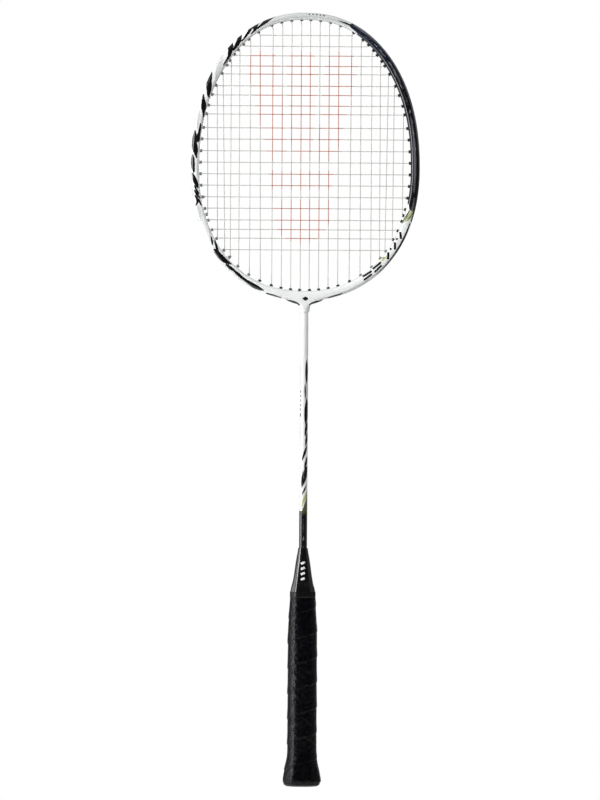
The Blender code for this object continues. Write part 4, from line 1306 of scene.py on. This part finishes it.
def add_softbox(name, azimuth, height, distance, size, power, reflected=True):
    """An area light round the racket: azimuth 0 is in front of it, positive to the left."""
    data = bpy.data.lights.new(name, "AREA")
    data.shape = "RECTANGLE"
    data.size, data.size_y = size
    data.energy = power
    light = add_object(name, data)
    angle = math.radians(azimuth)
    light.location = (-math.sin(angle) * distance, -math.cos(angle) * distance, height)
    towards = Vector((0, 0, LIGHTS_AIM)) - light.location
    light.rotation_euler = towards.to_track_quat("-Z", "Y").to_euler()
    light.visible_camera = False
    light.visible_glossy = reflected


def add_room():
    """A white backdrop for the camera, and a darker room with pale walls for everything else."""
    world = bpy.data.worlds.new("studio")
    world.use_nodes = True
    room = Nodes(world.node_tree)
    direction = room.node("SeparateXYZ", {0: room.node("TexCoord").outputs["Generated"]}).outputs
    brightness = ROOM_BASE
    for axis, start, end, wall in (
        (0, -0.75, -1, ROOM_LEFT), (0, 0.8, 1, ROOM_RIGHT), (1, 0.3, 0.9, ROOM_BACK), (2, 0.3, 1, ROOM_TOP),
    ):
        glow = room.remap(direction[axis], start, end, 0, wall, interpolation_type="SMOOTHSTEP")
        brightness = room.maths("ADD", glow, brightness)
    seen = room.node("LightPath").outputs["Is Camera Ray"]
    backdrop = room.node("Mix", {"Factor": seen, "A": brightness, "B": 1}).outputs["Result"]
    background = room.tree.nodes["Background"]
    room.feed(background.inputs["Strength"], backdrop)
    room.feed(background.inputs["Color"], (1, 1, 1))
    bpy.context.scene.world = world
    bpy.context.scene.view_settings.view_transform = "Standard"


def add_light():
    add_softbox("key_strip", 67, 0.36, 1.5, (0.34, 1.7), 22)
    add_softbox("side_wall", 95, 0.36, 1.9, (0.6, 1.8), 7)
    add_softbox("overhead_front", 5, 1.9, 1.7, (1.6, 1), 36, reflected=False)
    add_softbox("back_key", 205, 1.1, 2, (1, 1.4), 20)
    add_room()


def add_floor():
    mesh = bpy.data.meshes.new("studio_floor")
    half = FLOOR_HALF_SIZE
    corners = [(-half, -half, 0), (half, -half, 0), (half, half, 0), (-half, half, 0)]
    mesh.from_pydata(corners, [], [(0, 1, 2, 3)])
    floor = add_object("studio_floor", mesh)
    floor.location.z = FLOOR_HEIGHT
    pale = Finish("studio_floor_paint", roughness=0.8)
    finish_with(floor, pale.done(pale.mix(pale.noise(0.002), (0.86, 0.86, 0.855), (0.89, 0.89, 0.885))))


# ---------------------------------------------------------------- pieces


def build_head(material):
    points, faces, places = hoop_skin()
    builder = Builder()
    builder.add(points, faces)
    builder.add_rod(neck_skin())
    hoop, neck = np.split(np.array(builder.points), [len(points)])
    hoop_fields, neck_fields = hoop_paint(places, hoop), neck_paint(neck)
    fields = {key: np.concatenate([hoop_fields[key], neck_fields[key]]) for key in hoop_fields}
    make_piece("head_frame_painted", builder, "head_frame", material, fields)


def build_grommets(dark, grey):
    """Black in the throat and along the dark side of the hoop, grey elsewhere."""
    strips = [(f"throat_{{}}_{k + 1}", k, k) for k in range(SINGLE_GROMMETS)]
    for number, first in enumerate(range(SINGLE_GROMMETS, len(HOLE_ARCS), STRIP_HOLES)):
        strips.append((f"strip_{{}}_{number + 1}", first, min(first + STRIP_HOLES, len(HOLE_ARCS)) - 1))
    for side, label in ((1, "right"), (-1, "left")):
        for name, first, last in strips:
            start, end = plate_ends(first, last)
            arcs = [side * arc for arc in HOLE_ARCS[first:last + 1]]
            on_right = side > 0 and DARK_SIDE[0] < (start + end) / 2 < DARK_SIDE[1]
            on_dark = first < SINGLE_GROMMETS or on_right
            node = "grommet_" + name.format(label)
            builder = grommet_builder(arcs, side * start, side * end)
            make_piece(node + "_moulded", builder, node, dark if on_dark else grey)


def build_strings(material):
    main_knots = [side * HOLE_OF[MAIN_KNOT] for side in (-1, 1)]
    cross_knots = [-HOLE_OF[CROSS_KNOTS[0]], HOLE_OF[CROSS_KNOTS[1]]]
    for name, route, knots, lane in (
        ("main_string", main_route(), main_knots, MAIN_LANE),
        ("cross_string", cross_route(), cross_knots, CROSS_LANE),
    ):
        builder = string_builder(route, knots, lane)
        make_piece(name + "_woven", builder, name, material, string_paint(builder.points))


def build_tubes(lacquered, cone, tape):
    for name, node, slot, rings, paint, material in (
        ("shaft_painted", "shaft", "shaft_lacquer", shaft_rings(), shaft_paint, lacquered),
        ("cone_cap_moulded", "cone_cap", "cone_plastic", cone_rings(), cone_paint, cone),
        ("finishing_tape_wound", "finishing_tape", "tape_vinyl", tape_rings(), None, tape),
    ):
        builder = Builder()
        builder.add_tube(rings)
        make_piece(name, builder, node, material, paint(builder.points) if paint else None)


def build_grip(material):
    builder = Builder()
    builder.add_rod(grip_band())
    across, height = np.array(BAND_OUTLINE).T
    # The raised edge of each lap, which the grip's material paints lighter: scuffing with a painted
    # highlight.
    edge = np.where((across < 0.5) & (height > 0.3), 1, 0)
    edge = np.resize(edge, len(builder.points))
    edge[-2:] = 0
    fields = {"edge": edge}
    merge_collapsed(make_piece(
        "grip_wrap_band", builder, "grip_wrap", material, fields, sharp=50,
    ))


def build_cap(material):
    builder = Builder()
    builder.add_rod(cap_rings())
    make_piece("butt_cap_moulded", builder, "butt_cap", material)


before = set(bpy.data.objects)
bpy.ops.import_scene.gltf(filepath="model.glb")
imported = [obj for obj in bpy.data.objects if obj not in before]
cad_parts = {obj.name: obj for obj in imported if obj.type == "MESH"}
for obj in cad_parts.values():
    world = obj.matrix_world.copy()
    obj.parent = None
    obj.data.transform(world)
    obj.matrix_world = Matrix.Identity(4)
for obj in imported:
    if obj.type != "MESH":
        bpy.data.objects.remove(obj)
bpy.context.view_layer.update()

add_camera()
add_light()
add_floor()

build_head(lacquer("frame_lacquer_look"))
build_grommets(
    nylon("grommet_nylon_black", (0.016, 0.0165, 0.018)), nylon("grommet_nylon_grey", (0.17, 0.175, 0.175)),
)
build_strings(string_material())
build_tubes(lacquer("shaft_lacquer_look"), cone_material(), vinyl("tape_vinyl_look"))
build_grip(grip_material())
build_cap(moulded_plastic("cap_plastic_look", (0.004, 0.004, 0.0045), (0.008, 0.008, 0.009)))

# Better materials for the CAD pieces that stay.
for name, material in {
    "handle_core": wood(),
    "t_joint": moulded_plastic("joint_plastic_look", (0.05, 0.05, 0.055), (0.08, 0.08, 0.085)),
    "grip_staple": steel(),
}.items():
    finish_with(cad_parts[name], material)
